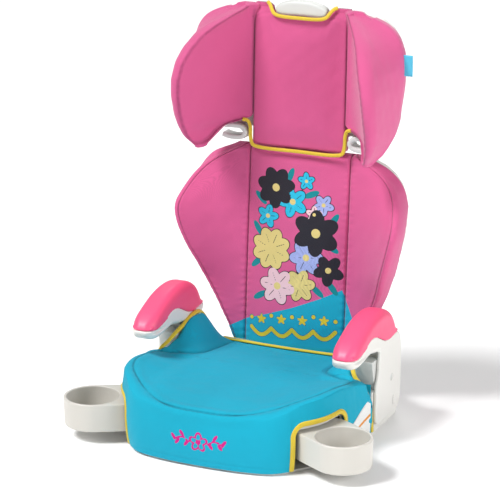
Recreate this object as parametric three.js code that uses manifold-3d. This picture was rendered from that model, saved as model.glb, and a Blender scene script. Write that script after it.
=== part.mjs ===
// High-back belt-positioning booster seat with height-adjustable head support,
// raising armrests and two cup holders that slide out from under the seat.
// Millimetres. The seat faces -Y, +Z is up and +X is to the right of someone who
// stands in front of it, which is what left and right mean in the names. The
// origin is on the floor under the middle of the base.

import * as THREE from 'three';
import { mergeVertices } from 'three/addons/utils/BufferGeometryUtils.js';
import Module from 'manifold-3d';

const wasm = await Module();
wasm.setup();

// ---------------------------------------------------------------- dimensions
const GAP = 0.3;                 // clearance between pieces that touch
const FABRIC = 2.2;              // thickness of the knitted cover
const LEAN = THREE.MathUtils.degToRad(4);   // the back leans this far behind upright

const BASE = {
  trayThick: 4,
  wall: 4,
  top: 75,                       // upper face of the moulded shell
  sideX: 196.5,                  // outer face beside the arm legs
  rearY: 184,                    // rear wall between the hinge cheeks
  cheekX: 136,                   // inner face of each hinge cheek
  cheekRearY: 212,
};
const HINGE = { y: 201, z: 42, rodR: 5, rodHalf: 158 };

const SKIRT = { hem: 6, thick: 3 };          // cover skirt round the base
const SEAT = { rearY: 167, midZ: 95, bolsterIn: 108, bolsterOut: 156 };

const ARCH = { half: 60, top: 85, corner: 24, band: 8 }; // cut-out round each cup holder
const CUP = {
  x: 222, y: -136, outward: new THREE.Vector2(0.8712, -0.4909),
  r: 48.5, wall: 5, z0: 21, z1: 68.5, bodyBack: 80, tailBack: 140, tailHalf: 30,
};

const ARM = { x0: 157, x1: 203, round: 7 };
const LEG = { slabX: 197, postX0: 171, postX1: 192, y0: 84, y1: 146, z0: 45 };
const SOCKET = { x0: 160, x1: 196.2, y0: 50, y1: 156, top: 126, wall: 7 };
const BUTTON = { y: 121, z: 81, r: 6, x0: 190, x1: 202.4 };

const BACK = {
  footY: 174, footZ: 80,         // front of the back panel where it meets the seat
  panelHalf: 92, pad: 14, shellThick: 4, boxDepth: 32, lidThick: 3,
};
const RACK = { half: 14, z0: 150, z1: 342, y0: 18.6, y1: 23, pitch: 30, notch: 8 };
const STEM = { half: 36, y0: 24, y1: 29.8, z0: 140, z1: 490 };
const BOLT = { half: 8, z: 171, high: 6 };
const LINK = { half: 6, y0: 30.2, y1: 31.8, z0: 160, z1: 575 };
const HEAD = { panelHalf: 85, rearY: 208.7, shellThick: 4, topZ: 662 };
const HANDLE = { half: 47, y0: 199, y1: 216.4, z0: 657, z1: 683 };

// ------------------------------------------------------------------ finishes
const FINISH = {
  pink: [0xe0649a, 0.9, 0],
  blue: [0x0aa0cc, 0.9, 0],
  yellow: [0xe0c52e, 0.85, 0],
  padPink: [0xf4648f, 0.6, 0],
  white: [0xebe8e2, 0.45, 0],
  grey: [0xc9cac6, 0.5, 0],
  foam: [0xe9e2cf, 0.95, 0],
  steel: [0xa9adb3, 0.3, 1],
  label: [0xf2f2f0, 0.7, 0],
  aqua: [0x58c4e0, 0.8, 0],
};

// ------------------------------------------------------------ shape helpers
const booster = new THREE.Group();
const leaning = new THREE.Group();         // x, y and z here follow the sloping back
leaning.position.set(0, BACK.footY, BACK.footZ);
leaning.rotation.x = -LEAN;
booster.add(leaning);
leaning.updateMatrix();

function add(parent, name, shape, finish) {
  const [color, roughness, metalness] = FINISH[finish];
  const geometry = shape.isBufferGeometry ? shape : geometryOf(shape);
  const material = new THREE.MeshStandardMaterial({ color, roughness, metalness });
  const mesh = new THREE.Mesh(geometry, material);
  mesh.name = name;
  parent.add(mesh);
}

function solidOf(geometry) {
  const bare = geometry.clone();
  bare.deleteAttribute('normal');
  bare.deleteAttribute('uv');
  const merged = mergeVertices(bare, 1e-4);
  return new wasm.Manifold(new wasm.Mesh({
    numProp: 3,
    vertProperties: new Float32Array(merged.attributes.position.array),
    triVerts: new Uint32Array(merged.index.array),
  }));
}

function geometryOf(solid) {
  const { vertProperties, triVerts, numProp } = solid.getMesh();
  const positions = new Float32Array(triVerts.length * 3);
  triVerts.forEach((vertex, i) => {
    for (let k = 0; k < 3; k++) positions[3 * i + k] = vertProperties[vertex * numProp + k];
  });
  const geometry = new THREE.BufferGeometry();
  geometry.setAttribute('position', new THREE.BufferAttribute(positions, 3));
  geometry.computeVertexNormals();
  return geometry;
}

const join = (first, ...rest) => rest.reduce((sum, next) => sum.add(next), first);
const cut = (first, ...rest) => rest.reduce((left, next) => left.subtract(next), first);
const common = (first, ...rest) => rest.reduce((both, next) => both.intersect(next), first);

// The biggest separate body of a solid: slivers left by a cut are dropped.
function biggest(solid) {
  const bodies = solid.decompose();
  return bodies.reduce((best, body) => (body.volume() > best.volume() ? body : best));
}

function shapeOf(points) {
  return new THREE.Shape(points.map(([u, v]) => new THREE.Vector2(u, v)));
}

const YZ_TO_WORLD = new THREE.Matrix4().makeBasis(
  new THREE.Vector3(0, 1, 0), new THREE.Vector3(0, 0, 1), new THREE.Vector3(1, 0, 0));

// Prisms: an outline of [u, v] points carried along the third axis.
function prismXY(points, z0, z1) {
  return solidOf(new THREE.ExtrudeGeometry(shapeOf(points), { depth: z1 - z0, bevelEnabled: false })
    .translate(0, 0, z0));
}
function prismXZ(points, y0, y1) {
  return solidOf(new THREE.ExtrudeGeometry(shapeOf(points), { depth: y1 - y0, bevelEnabled: false })
    .rotateX(Math.PI / 2).translate(0, y1, 0));
}
function prismYZ(points, x0, x1) {
  return solidOf(new THREE.ExtrudeGeometry(shapeOf(points), { depth: x1 - x0, bevelEnabled: false })
    .applyMatrix4(YZ_TO_WORLD).translate(x0, 0, 0));
}

function block(x0, x1, y0, y1, z0, z1) {
  return solidOf(new THREE.BoxGeometry(x1 - x0, y1 - y0, z1 - z0)
    .translate((x0 + x1) / 2, (y0 + y1) / 2, (z0 + z1) / 2));
}

// A round bar between two points.
function bar(from, to, radius, sides = 16) {
  const a = new THREE.Vector3(...from);
  const b = new THREE.Vector3(...to);
  const geometry = new THREE.CylinderGeometry(radius, radius, a.distanceTo(b), sides);
  const turn = new THREE.Quaternion().setFromUnitVectors(
    new THREE.Vector3(0, 1, 0), b.clone().sub(a).normalize());
  return solidOf(geometry.applyQuaternion(turn).translate(...a.add(b).multiplyScalar(0.5).toArray()));
}

// Piping: a round section carried along a smooth curve through the points.
function piping(points, radius, steps, sides = 6) {
  const path = new THREE.CatmullRomCurve3(points.map((p) => new THREE.Vector3(...p)), false,
    'centripetal');
  const circle = new THREE.Shape().absarc(0, 0, radius, 0, 2 * Math.PI);
  return solidOf(new THREE.ExtrudeGeometry(new THREE.Shape(circle.getPoints(sides / 2).slice(0, -1)),
    { steps, extrudePath: path, bevelEnabled: false }));
}

// A body through a stack of plan outlines with equal numbers of points.
function stack(rings) {
  const count = rings[0].length;
  const positions = rings.flat(2);
  const index = [];
  for (let r = 0; r < rings.length - 1; r++) {
    for (let i = 0; i < count; i++) {
      const a = r * count + i;
      const b = r * count + (i + 1) % count;
      index.push(a, b, a + count, b, b + count, a + count);
    }
  }
  const capOf = (ring) => THREE.ShapeUtils.triangulateShape(
    ring.map(([x, y]) => new THREE.Vector2(x, y)), []);
  const last = (rings.length - 1) * count;
  for (const [a, b, c] of capOf(rings[0])) index.push(c, b, a);
  for (const [a, b, c] of capOf(rings.at(-1))) index.push(last + a, last + b, last + c);
  const geometry = new THREE.BufferGeometry();
  geometry.setAttribute('position', new THREE.Float32BufferAttribute(positions, 3));
  geometry.setIndex(index);
  return solidOf(geometry);
}

// Points along a smooth curve through plan points.
function smooth(points, count, closed = false) {
  const curve = new THREE.CatmullRomCurve3(
    points.map(([x, y]) => new THREE.Vector3(x, y, 0)), closed, 'centripetal');
  const spaced = curve.getSpacedPoints(count).map((p) => [p.x, p.y]);
  return closed ? spaced.slice(0, -1) : spaced;
}

// A closed outline from its right half, given from the front (or foot) round to the rear (or top).
function mirrored(right) {
  const left = right.filter(([x]) => x > 1e-6).map(([x, y]) => [-x, y]).reverse();
  return [...right, ...left];
}

// The outline moved inward by a distance, corner by corner.
function inset(points, distance) {
  return points.map((point, i) => {
    const before = points.at(i - 1);
    const after = points[(i + 1) % points.length];
    const inA = new THREE.Vector2(before[1] - point[1], point[0] - before[0]).normalize();
    const inB = new THREE.Vector2(point[1] - after[1], after[0] - point[0]).normalize();
    const inward = inA.clone().add(inB).normalize();
    const reach = distance / Math.max(0.35, inward.dot(inA));
    return [point[0] + inward.x * reach, point[1] + inward.y * reach];
  });
}

// Values between the rows of a table whose first column rises.
function rowAt(rows, key) {
  const above = Math.max(1, rows.findIndex((row) => row[0] >= key));
  const upper = key >= rows.at(-1)[0] ? rows.at(-1) : rows[above];
  const lower = key >= rows.at(-1)[0] ? rows.at(-1) : rows[above - 1];
  const t = upper === lower ? 0 : THREE.MathUtils.clamp((key - lower[0]) / (upper[0] - lower[0]), 0, 1);
  return lower.map((value, i) => value + (upper[i] - value) * t);
}

const bump = (value, from, to) => THREE.MathUtils.smoothstep(value, from, to);
const flipX = (solid) => solid.mirror([1, 0, 0]);
const SIDES = [['left', -1], ['right', 1]];
const onSide = (solid, sign) => (sign > 0 ? solid : flipX(solid));

// ---------------------------------------------------------------- base plan
// Half outline of the cover's skirt, from the front middle to the flap's rear edge.
const SKIRT_HALF = smooth([[0, -197], [80, -192], [121, -180], [152, -148], [176, -110],
  [186, -60], [190, 0], [197, 48]], 18);
const FLAP_END = 48;

// Plan inside the skirt: its curve moved inward, closed straight across at rearY.
function skirtPlan(inward, rearY) {
  const long = mirrored([...SKIRT_HALF, [197, 150], [0, 150]]);
  const curve = inset(long, inward).slice(0, SKIRT_HALF.length)
    .map(([x, y], i) => (i ? [x, y] : [0, y]))
    .filter(([, y]) => y < rearY - 1);
  return mirrored([...curve, [curve.at(-1)[0] + 0.3, rearY], [0, rearY]]);
}

const baseFront = skirtPlan(SKIRT.thick + GAP, FLAP_END);
const baseOutline = mirrored([...baseFront.slice(0, baseFront.findIndex(([, y]) => y === FLAP_END) + 1),
  [BASE.sideX, FLAP_END + 1], [BASE.sideX, 160], [188, 178], [172, 196],
  [BASE.cheekX + 12, BASE.cheekRearY], [BASE.cheekX, BASE.cheekRearY], [BASE.cheekX, BASE.rearY],
  [0, BASE.rearY]]);

// Height of the seat's upper face: raised front corners, a dip towards the
// back, and a hip bolster rising beside each armrest.
function seatHeight(x, y) {
  const side = Math.abs(x);
  const corner = 15 * bump(side, 60, 178) * (1 - bump(y, -80, 40)) * bump(y, -215, -140);
  const edge = 6 * bump(side, 110, 180) * (1 - bump(y, -20, 60));
  const fall = 14 * bump(y, 20, 176);
  const crest = 57 * bump(y, 0, 100) * (1 - bump(y, 122, 186));
  const bolster = crest * bump(side, SEAT.bolsterIn, SEAT.bolsterOut - 4);
  return SEAT.midZ + corner + edge - fall + bolster;
}

// The space under the seat surface (raised by lift) within a plan rectangle.
function underSeat(lift, bottom) {
  const xs = [-205, -180, -156, -146, -135, -122, -108, -60, 0, 60, 108, 122, 135, 146, 156, 180, 205];
  const ys = [-205, -175, -140, -100, -60, -20, 20, 45, 65, 85, 105, 125, 145, 160, 175];
  const positions = [];
  for (const z of ['top', 'bottom']) {
    for (const y of ys) {
      for (const x of xs) positions.push(x, y, z === 'top' ? seatHeight(x, y) + lift : bottom);
    }
  }
  const index = [];
  const at = (i, j, layer) => layer * xs.length * ys.length + j * xs.length + i;
  const quad = (a, b, c, d) => index.push(a, b, c, a, c, d);
  for (let j = 0; j < ys.length - 1; j++) {
    for (let i = 0; i < xs.length - 1; i++) {
      quad(at(i, j, 0), at(i + 1, j, 0), at(i + 1, j + 1, 0), at(i, j + 1, 0));
      quad(at(i, j + 1, 1), at(i + 1, j + 1, 1), at(i + 1, j, 1), at(i, j, 1));
    }
  }
  const [w, d] = [xs.length - 1, ys.length - 1];
  for (let i = 0; i < w; i++) {
    quad(at(i, 0, 1), at(i + 1, 0, 1), at(i + 1, 0, 0), at(i, 0, 0));
    quad(at(i + 1, d, 1), at(i, d, 1), at(i, d, 0), at(i + 1, d, 0));
  }
  for (let j = 0; j < d; j++) {
    quad(at(w, j, 1), at(w, j + 1, 1), at(w, j + 1, 0), at(w, j, 0));
    quad(at(0, j + 1, 1), at(0, j, 1), at(0, j, 0), at(0, j + 1, 0));
  }
  const geometry = new THREE.BufferGeometry();
  geometry.setAttribute('position', new THREE.Float32BufferAttribute(positions, 3));
  geometry.setIndex(index);
  return solidOf(geometry);
}

// Plan of the padded part behind the skirt, between the armrests.
const betweenArms = (grow) => [[-157 - grow, 40], [157 + grow, 40], [156.5 + grow, 75],
  [154 + grow, 100], [153 + grow, SEAT.rearY + grow], [-153 - grow, SEAT.rearY + grow],
  [-154 - grow, 100], [-156.5 - grow, 75]];

// A tunnel along the cup holder's slide, with a flat top and round upper corners.
function archTunnel(shrink, top = ARCH.top - shrink, corner = ARCH.corner - shrink) {
  const half = ARCH.half - shrink;
  const quarter = Array.from({ length: 6 }, (_, i) => {
    const angle = (i * Math.PI) / 10;
    return [half - corner + corner * Math.cos(angle), top - corner + corner * Math.sin(angle)];
  });
  const arch = mirrored([[0, -2], [half, -2], ...quarter]);
  const heading = Math.atan2(CUP.outward.y, CUP.outward.x);
  return solidOf(new THREE.ExtrudeGeometry(shapeOf(arch), { depth: 150, bevelEnabled: false })
    .applyMatrix4(YZ_TO_WORLD).translate(-105, 0, 0).rotateZ(heading).translate(CUP.x, CUP.y, 0));
}
const bothSides = (solid) => solid.add(flipX(solid));

// ---------------------------------------------------------------- base parts
const screwPlaces = [[-60, -150], [60, -150], [-110, 120], [110, 120]];

function makeTray() {
  const slab = prismXY(inset(baseOutline, 2), 0, BASE.trayThick);
  const holes = screwPlaces.map(([x, y]) => bar([x, y, -1], [x, y, 9], 2.6, 10));
  const sinks = screwPlaces.map(([x, y]) => bar([x, y, -1], [x, y, 2.2], 5.3, 12));
  return cut(slab, ...holes, ...sinks);
}

function makeScrew(x, y) {
  return join(bar([x, y, 0.2], [x, y, 2], 5, 12), bar([x, y, 1], [x, y, 16], 2.2, 8));
}

function makeShell() {
  const bottom = BASE.trayThick + GAP;
  const outside = prismXY(baseOutline, bottom, BASE.top);
  const inside = prismXY(inset(baseOutline, BASE.wall), bottom - 1, BASE.top - BASE.wall);
  const bosses = screwPlaces.map(([x, y]) => cut(
    bar([x, y, bottom], [x, y, BASE.top - 1], 7, 12), bar([x, y, 0], [x, y, 17], 2.5, 8)));
  const cheekTop = 62;
  const aboveCheeks = bothSides(block(BASE.cheekX - 1, 215, 190, 220, cheekTop, BASE.top + 1));
  const axle = bar([-HINGE.rodHalf - GAP, HINGE.y, HINGE.z], [HINGE.rodHalf + GAP, HINGE.y, HINGE.z],
    HINGE.rodR + GAP);
  const bearings = bothSides(bar([BASE.cheekX + 1, HINGE.y, HINGE.z],
    [BASE.cheekX + 20, HINGE.y, HINGE.z], HINGE.rodR + 3));
  const walls = cut(outside, inside, bothSides(archTunnel(ARCH.band - 1, BASE.top - BASE.wall, 6)));
  const legWells = bothSides(block(LEG.postX0 - 2, LEG.postX1 + 0.5, LEG.y0 - 2, LEG.y1 + 2, 60, 80));
  return biggest(cut(join(walls, ...bosses, bearings), aboveCheeks, axle, legWells, tapeRoom()));
}

function makeSeatFoam() {
  const front = prismXY(skirtPlan(SKIRT.thick + 2 * GAP, 42), BASE.top + GAP, 200);
  const rear = prismXY(betweenArms(-SKIRT.thick - GAP), BASE.top + GAP, 200);
  return biggest(cut(common(front.add(rear), underSeat(0, 40)), tapeRoom(), behindTape(5)));
}

// The seat cover's outer body: the skirt in front and the padded part behind it.
function coverBody(inward, rearY, hem, rearHem) {
  return prismXY(skirtPlan(inward, rearY), hem, 210).add(prismXY(betweenArms(-inward), rearHem, 210));
}

// Path of the tape that binds the flap's rear edge and runs up the hip bolster's crest.
const EDGE_TAPE = [[197.5, 49.5, 9], [196, 49, 30], [194, 47, 56], [190, 38, 78], [184, 28, 95],
  [177, 24, 106], [169, 34, 115], [162, 52, 128], [158, 70, 135.5], [153.8, 92, 145],
  [153, 114, 147], [153, 138, 137], [153, 158, 114]];
// The flap's rear edge sweeps forward round the socket, so nothing is left behind the tape.
const FLAP_EDGE = [[49.5, 50], [47, 58], [43, 68], [38, 78], [31, 90], [26, 99], [24, 106], [24, 150]];
const behindTape = (lead) => bothSides(prismYZ(
  [[70, 50], ...FLAP_EDGE.map(([y, z]) => [y - lead, z]), [70, 150]], 172, 215));
const tapeRoom = () => bothSides(piping(EDGE_TAPE, 3 + GAP, 26));

function makeSeatCover() {
  const outside = common(coverBody(0, FLAP_END, SKIRT.hem, BASE.top + GAP), underSeat(FABRIC + GAP, 0));
  const inside = common(coverBody(SKIRT.thick, FLAP_END + 9, 0, 0), underSeat(GAP, -5));
  return biggest(cut(outside, inside, bothSides(archTunnel(0)), tapeRoom(), behindTape(0)));
}

function makeArchBinding() {
  const band = cut(prismXY(skirtPlan(-1.5, FLAP_END), SKIRT.hem, 100),
    prismXY(skirtPlan(SKIRT.thick - 0.2, FLAP_END), 0, 110));
  const side = block(100, 260, -260, 20, 0, 120);
  return biggest(common(band, side, cut(archTunnel(GAP), archTunnel(ARCH.band))));
}

function makeSideLabel() {
  const skin = cut(prismXY(skirtPlan(-1.1, FLAP_END), 5, 100), prismXY(skirtPlan(-GAP, FLAP_END), 0, 110));
  const patch = prismYZ([[-12, 12], [38, 12], [38, 70], [-12, 55]], 150, 230);
  return biggest(cut(common(skin, patch), archTunnel(-1), tapeRoom()));
}

function makeSocket() {
  const { x0, x1, y0, y1, top, wall } = SOCKET;
  const outer = prismYZ([[y0 + 14, BASE.top + GAP], [y1, BASE.top + GAP], [y1, top], [y0, top],
    [y0 + 2, top - 12]], x0, x1);
  const well = block(x0 + wall, x1 + 5, LEG.y0 - 2, LEG.y1 + 2, BASE.top - 3, top + 5);
  return cut(outer, well, tapeRoom());
}

// ---------------------------------------------------------------- armrests
const ARM_OUTLINE = [...smooth([[150.5, 143], [146, 168], [128, 192], [98, 205], [66, 207], [34, 202],
  [2, 191], [-26, 178], [-42, 165], [-46, 153], [-38, 142.5], [-18, 140.5], [5, 143], [30, 146]], 28),
[60, 141], [149, 135]];
const ARM_SPLIT = [[-60, 158], [-40, 157], [-20, 158], [-2, 163], [15, 170], [32, 174], [50, 172],
  [70, 163], [92, 153], [110, 149], [160, 146]];

function armWhole() {
  const inner = inset(ARM_OUTLINE, ARM.round);
  const width = ARM.x1 - ARM.x0;
  return solidOf(new THREE.ExtrudeGeometry(shapeOf(inner), {
    depth: width - 2 * ARM.round, bevelThickness: ARM.round, bevelSize: ARM.round, bevelSegments: 3,
  }).applyMatrix4(YZ_TO_WORLD).translate(ARM.x0 + ARM.round, 0, 0));
}

function makeArmPad() {
  const above = prismYZ([...ARM_SPLIT, [160, 240], [-70, 240]].map(([y, z]) => [y, z + GAP]),
    100, 250);
  return common(armWhole(), above);
}

function makeArmBody() {
  const below = prismYZ([[-70, 120], [160, 120], ...[...ARM_SPLIT].reverse()], 100, 250);
  const slab = prismYZ([[53, 30], [58, 15], [150, 14], [162, 26], [163, 128], [156, 146], [74, 146],
    [72, 122], [65, 96], [55, 76]], LEG.slabX, ARM.x1);
  const post = block(LEG.postX0, LEG.postX1, LEG.y0, LEG.y1, LEG.z0, 146);
  const bridge = block(LEG.postX1 - 1, LEG.slabX + 1, LEG.y0, LEG.y1, BASE.top + 1, 145);
  const pocket = bar([BUTTON.x0 - 9, BUTTON.y, BUTTON.z], [ARM.x1 + 1, BUTTON.y, BUTTON.z],
    BUTTON.r + GAP, 20);
  return cut(join(common(armWhole(), below), slab, post, bridge), pocket);
}

function makeArmButton() {
  return bar([BUTTON.x0, BUTTON.y, BUTTON.z], [BUTTON.x1, BUTTON.y, BUTTON.z], BUTTON.r, 16);
}

function coil(from, to, radius, wire, turns) {
  const steps = turns * 8;
  const start = new THREE.Vector3(...from);
  const axis = new THREE.Vector3(...to).sub(start);
  const length = axis.length();
  axis.normalize();
  const side = new THREE.Vector3(axis.y, axis.z, axis.x).cross(axis).normalize();
  const up = axis.clone().cross(side);
  const points = Array.from({ length: steps + 1 }, (_, i) => {
    const angle = (i / 8) * 2 * Math.PI;
    return start.clone().addScaledVector(axis, (length * i) / steps)
      .addScaledVector(side, radius * Math.cos(angle)).addScaledVector(up, radius * Math.sin(angle))
      .toArray();
  });
  return piping(points, wire, steps, 4);
}

// ---------------------------------------------------------------- cup holder
function makeCupHolder() {
  const arc = Array.from({ length: 17 }, (_, i) => {
    const angle = -Math.PI / 2 + (i * Math.PI) / 16;
    return [(CUP.r - 1.5) * Math.cos(angle), (CUP.r - 1.5) * Math.sin(angle)];
  });
  const stadium = [...arc, [-CUP.bodyBack, CUP.r - 1.5], [-CUP.bodyBack, 1.5 - CUP.r]];
  const body = solidOf(new THREE.ExtrudeGeometry(shapeOf(stadium), {
    depth: CUP.z1 - CUP.z0 - 3, bevelThickness: 1.5, bevelSize: 1.5, bevelSegments: 2,
  }).translate(0, 0, CUP.z0 + 1.5));
  const well = bar([0, 0, CUP.z0 + CUP.wall], [0, 0, CUP.z1 + 1], CUP.r - CUP.wall, 40);
  const under = block(-CUP.bodyBack - 5, -CUP.r + 4, -CUP.r + 5, CUP.r - 5, CUP.z0 - 1, CUP.z1 - 6);
  const tongue = block(-CUP.tailBack, -CUP.r + 6, -CUP.tailHalf, CUP.tailHalf, 32, 37);
  const rails = [-1, 1].map((s) => block(-CUP.tailBack, -CUP.r + 6,
    s > 0 ? CUP.tailHalf - 4 : -CUP.tailHalf, s > 0 ? CUP.tailHalf : 4 - CUP.tailHalf, 32, 48));
  const heading = THREE.MathUtils.radToDeg(Math.atan2(CUP.outward.y, CUP.outward.x));
  return join(cut(body, well, under), tongue, ...rails).rotate([0, 0, heading])
    .translate([CUP.x, CUP.y, 0]);
}

// --------------------------------------------------------------- wing bodies
// One level of a padded wing, in plan: the padded inner face from the panel
// seam to the rim seam, the rolled rim, the outer side and the rear.
// A level is [height, seamX, seamY, rimX, rimY, roll, sideX, sideY, rearY].
function wingOutline([, seamX, seamY, rimX, rimY, roll, sideX, sideY, rearY]) {
  const face = new THREE.QuadraticBezierCurve(new THREE.Vector2(seamX, seamY),
    new THREE.Vector2(seamX + 0.55 * (rimX - seamX), seamY - 0.12 * (seamY - rimY)),
    new THREE.Vector2(rimX, rimY)).getPoints(5);
  const rim = new THREE.QuadraticBezierCurve(new THREE.Vector2(rimX, rimY),
    new THREE.Vector2(rimX + roll, rimY - 0.3 * roll),
    new THREE.Vector2(rimX + 1.25 * roll, rimY + roll)).getPoints(3).slice(1);
  const plan = [...face, ...rim].map((p) => [p.x, p.y]);
  plan.push([sideX, sideY], [sideX - 5, rearY], [seamX, rearY]);
  return plan;
}

// The same level with its padded face, rim and outer side moved in by a distance.
function slimmer([height, seamX, seamY, rimX, rimY, roll, sideX, sideY, rearY], by) {
  return [height, seamX, seamY + by, rimX + 0.2 * by, rimY + 1.6 * by, Math.max(0.6, roll - 0.5 * by),
    sideX - by, sideY, rearY];
}

function wingBody(levels, shrink, rearExtra = 0) {
  const low = levels[0][0] + shrink;
  const high = levels.at(-1)[0] - shrink;
  const heights = [low, ...levels.slice(1, -1).map((row) => row[0]), high];
  return stack(heights.map((height) => {
    const row = slimmer(rowAt(levels, height), shrink);
    row[8] += rearExtra;
    return wingOutline(row).map(([x, y]) => [x, y, height]);
  }));
}

// --------------------------------------------------------------- backrest
// Heights, and how far the rim stands in front of the panel, are measured along the leaning back.
const BACK_WING = [
  // height, rim x, rim forward, roll, side x
  [6, 107, 3, 2, 112], [35, 118, 7, 3, 124], [85, 140, 15, 4, 148], [115, 154, 23, 5, 160],
  [145, 164, 37, 6, 169], [172, 175, 51, 6, 178], [202, 185, 61, 6, 185], [232, 192, 67, 6, 190],
  [250, 192, 62, 6, 192], [272, 187, 44, 6, 192], [294, 177, 26, 6, 187], [312, 162, 14, 6, 178],
  [330, 138, 6, 5, 160], [343, 112, 2, 4, 136],
].map(([height, rimX, forward, roll, sideX]) => [height, BACK.panelHalf - 1, 0, rimX, -forward, roll,
  sideX, BACK.pad - 4, BACK.pad]);
const BACK_TOP = 352;

const panelBlock = (half, y0, y1, z0, z1) => block(-half, half, y0, y1, z0, z1);

function makeBackCover() {
  const wings = bothSides(wingBody(BACK_WING, 0));
  const outside = join(panelBlock(BACK.panelHalf, 0, BACK.pad, 6, BACK_TOP), wings);
  const hollow = join(panelBlock(BACK.panelHalf + 1, FABRIC, BACK.pad + 9, 6 + FABRIC, BACK_TOP - FABRIC),
    bothSides(wingBody(BACK_WING, FABRIC, 9)));
  return biggest(cut(outside, hollow));
}

function makeBackFoam(sign) {
  const half = BACK.panelHalf - 0.5;
  if (!sign) return panelBlock(half, FABRIC + GAP, BACK.pad, 6 + FABRIC + GAP, BACK_TOP - FABRIC - GAP);
  const wing = wingBody(BACK_WING, FABRIC + GAP, -FABRIC - GAP);
  return onSide(common(wing, block(half + GAP, 300, -200, 200, 0, 500)), sign);
}

const backOutline = mirrored([[0, 4], [104, 4], ...smooth([[108, 14], [122, 40], [146, 88], [158, 118],
  [176, 175], [186, 215], [189, 250], [185, 290], [172, 316], [152, 334], [128, 345], [104, 350]], 18),
[0, 350]]);

function makeBackShell() {
  const rearY = BACK.boxDepth;
  const front = BACK.pad + GAP;
  const outside = prismXZ(inset(backOutline, 3), front, rearY);
  const inside = prismXZ(inset(backOutline, 6), front + BACK.shellThick, rearY + 5);
  const foot = join(panelBlock(104, front, rearY, -18, 8),
    panelBlock(104, front + 2, rearY, -22, -17));
  const footRoom = panelBlock(98, front + BACK.shellThick, rearY + 5, -14, 12);
  const stemMouth = panelBlock(STEM.half + 3, STEM.y0 - 1.5, rearY + 5, 330, 360);
  return cut(join(outside, foot), inside, footRoom, stemMouth);
}

const lidScrews = [[-95, 40], [95, 40], [-140, 270], [140, 270]];

function makeRearPanel() {
  const sheet = prismXZ(inset(backOutline, 3), BACK.boxDepth + GAP, BACK.boxDepth + GAP + BACK.lidThick);
  const holes = lidScrews.map(([x, z]) => bar([x, 25, z], [x, 40, z], 2.6, 8));
  return cut(sheet, ...holes);
}

function makeLidScrew(x, z) {
  const head = BACK.boxDepth + GAP + BACK.lidThick + GAP;
  return join(bar([x, head, z], [x, head + 2, z], 4.5, 12), bar([x, 20, z], [x, head + 1, z], 2.2, 8));
}

function makeRack() {
  const { half, z0, z1, y0, y1, pitch, notch } = RACK;
  const notches = Array.from({ length: 6 }, (_, i) => {
    const z = BOLT.z + i * pitch;
    return panelBlock(BOLT.half + 1, y0 + 1, y1 + 5, z - notch / 2, z + notch / 2);
  });
  return cut(panelBlock(half, y0, y1, z0, z1), ...notches);
}

function makeHook(sign) {
  const x0 = 66;
  const x1 = 100;
  const hinge = new THREE.Vector3(0, HINGE.y, HINGE.z).applyMatrix4(leaning.matrix.clone().invert());
  const ring = bar([x0, hinge.y, hinge.z], [x1, hinge.y, hinge.z], HINGE.rodR + 5, 20);
  const web = block(x0, x1, BACK.pad + 6, BACK.boxDepth - 1, hinge.z, -22 - GAP);
  const rod = bar([x0 - 1, hinge.y, hinge.z], [x1 + 1, hinge.y, hinge.z], HINGE.rodR + GAP, 20);
  return onSide(cut(join(ring, web), rod), sign);
}

// --------------------------------------------------------------- head support
// height, seam x, seam y, rim x, rim y, roll, side x, side y, rear y
const HEAD_WING = [
  [440, 142, 122, 149, 114, 4, 161, 128, 133], [449, 135, 138, 153, 104, 8, 171, 142, 148],
  [460, 128, 151, 158, 94, 10, 174, 157, 166], [470, 114, 168, 160, 89, 11, 175, 166, 180],
  [479, 84, 191, 162, 85, 12, 176, 173, 194], [500, 84, 192, 164, 78, 13, 178, 181, 204],
  [530, 84, 193, 163, 70, 14, 181, 185, 208.7], [560, 84, 194, 160.5, 67, 15, 185, 186, 208.7],
  [590, 84, 195, 154, 72, 16, 186, 187, 208.7], [612, 84, 196, 145, 87, 17, 185, 188, 208.7],
  [630, 84, 196, 135, 106, 17, 180, 188, 208.7], [645, 84, 197, 121, 130, 16, 172, 189, 208.7],
  [658, 82, 198, 108, 152, 14, 157, 190, 208.7], [668, 80, 199, 95, 172, 12, 134, 191, 208.7],
  [677, 76, 201, 84, 190, 8, 100, 196, 208.7],
];
const headPanel = (shrink, rear) => {
  const half = HEAD.panelHalf - shrink;
  const top = mirrored([[0, 434 + shrink], [half, 434 + shrink], [half, 662 - shrink],
    [62, 672 - shrink], [56, 668 - shrink], [46, HEAD.topZ - 5 - shrink], [0, HEAD.topZ - 6 - shrink]]);
  const lean = prismYZ([[190.5 + shrink, 430], [rear, 430], [rear, 690], [200 + shrink, 690]], -120, 120);
  return common(prismXZ(top, 180, 230), lean);
};

function makeHeadCover() {
  const outside = join(headPanel(0, HEAD.rearY), bothSides(wingBody(HEAD_WING, 0)));
  const hollow = join(headPanel(FABRIC, HEAD.rearY + 9), bothSides(wingBody(HEAD_WING, FABRIC, 9)),
    panelBlock(HEAD.panelHalf + 1, 203, 220, 490, 655));
  return biggest(cut(outside, hollow));
}

function makeHeadFoam(sign) {
  const shrink = FABRIC + GAP;
  const half = HEAD.panelHalf - 3;
  if (!sign) {
    return cut(common(headPanel(shrink, HEAD.rearY - GAP), panelBlock(half, 100, 300, 400, 700)),
      overlapWithBack());
  }
  const wing = wingBody(HEAD_WING, shrink, -shrink - GAP);
  return onSide(common(wing, block(half + GAP, 300, 0, 300, 400, 700)), sign);
}

// The room that the top of the back takes, in front of which the head support's lower edge hangs.
function overlapWithBack() {
  return panelBlock(250, -1, 60, -20, BACK_TOP + 1).transform(leaning.matrix.toArray());
}

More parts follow.
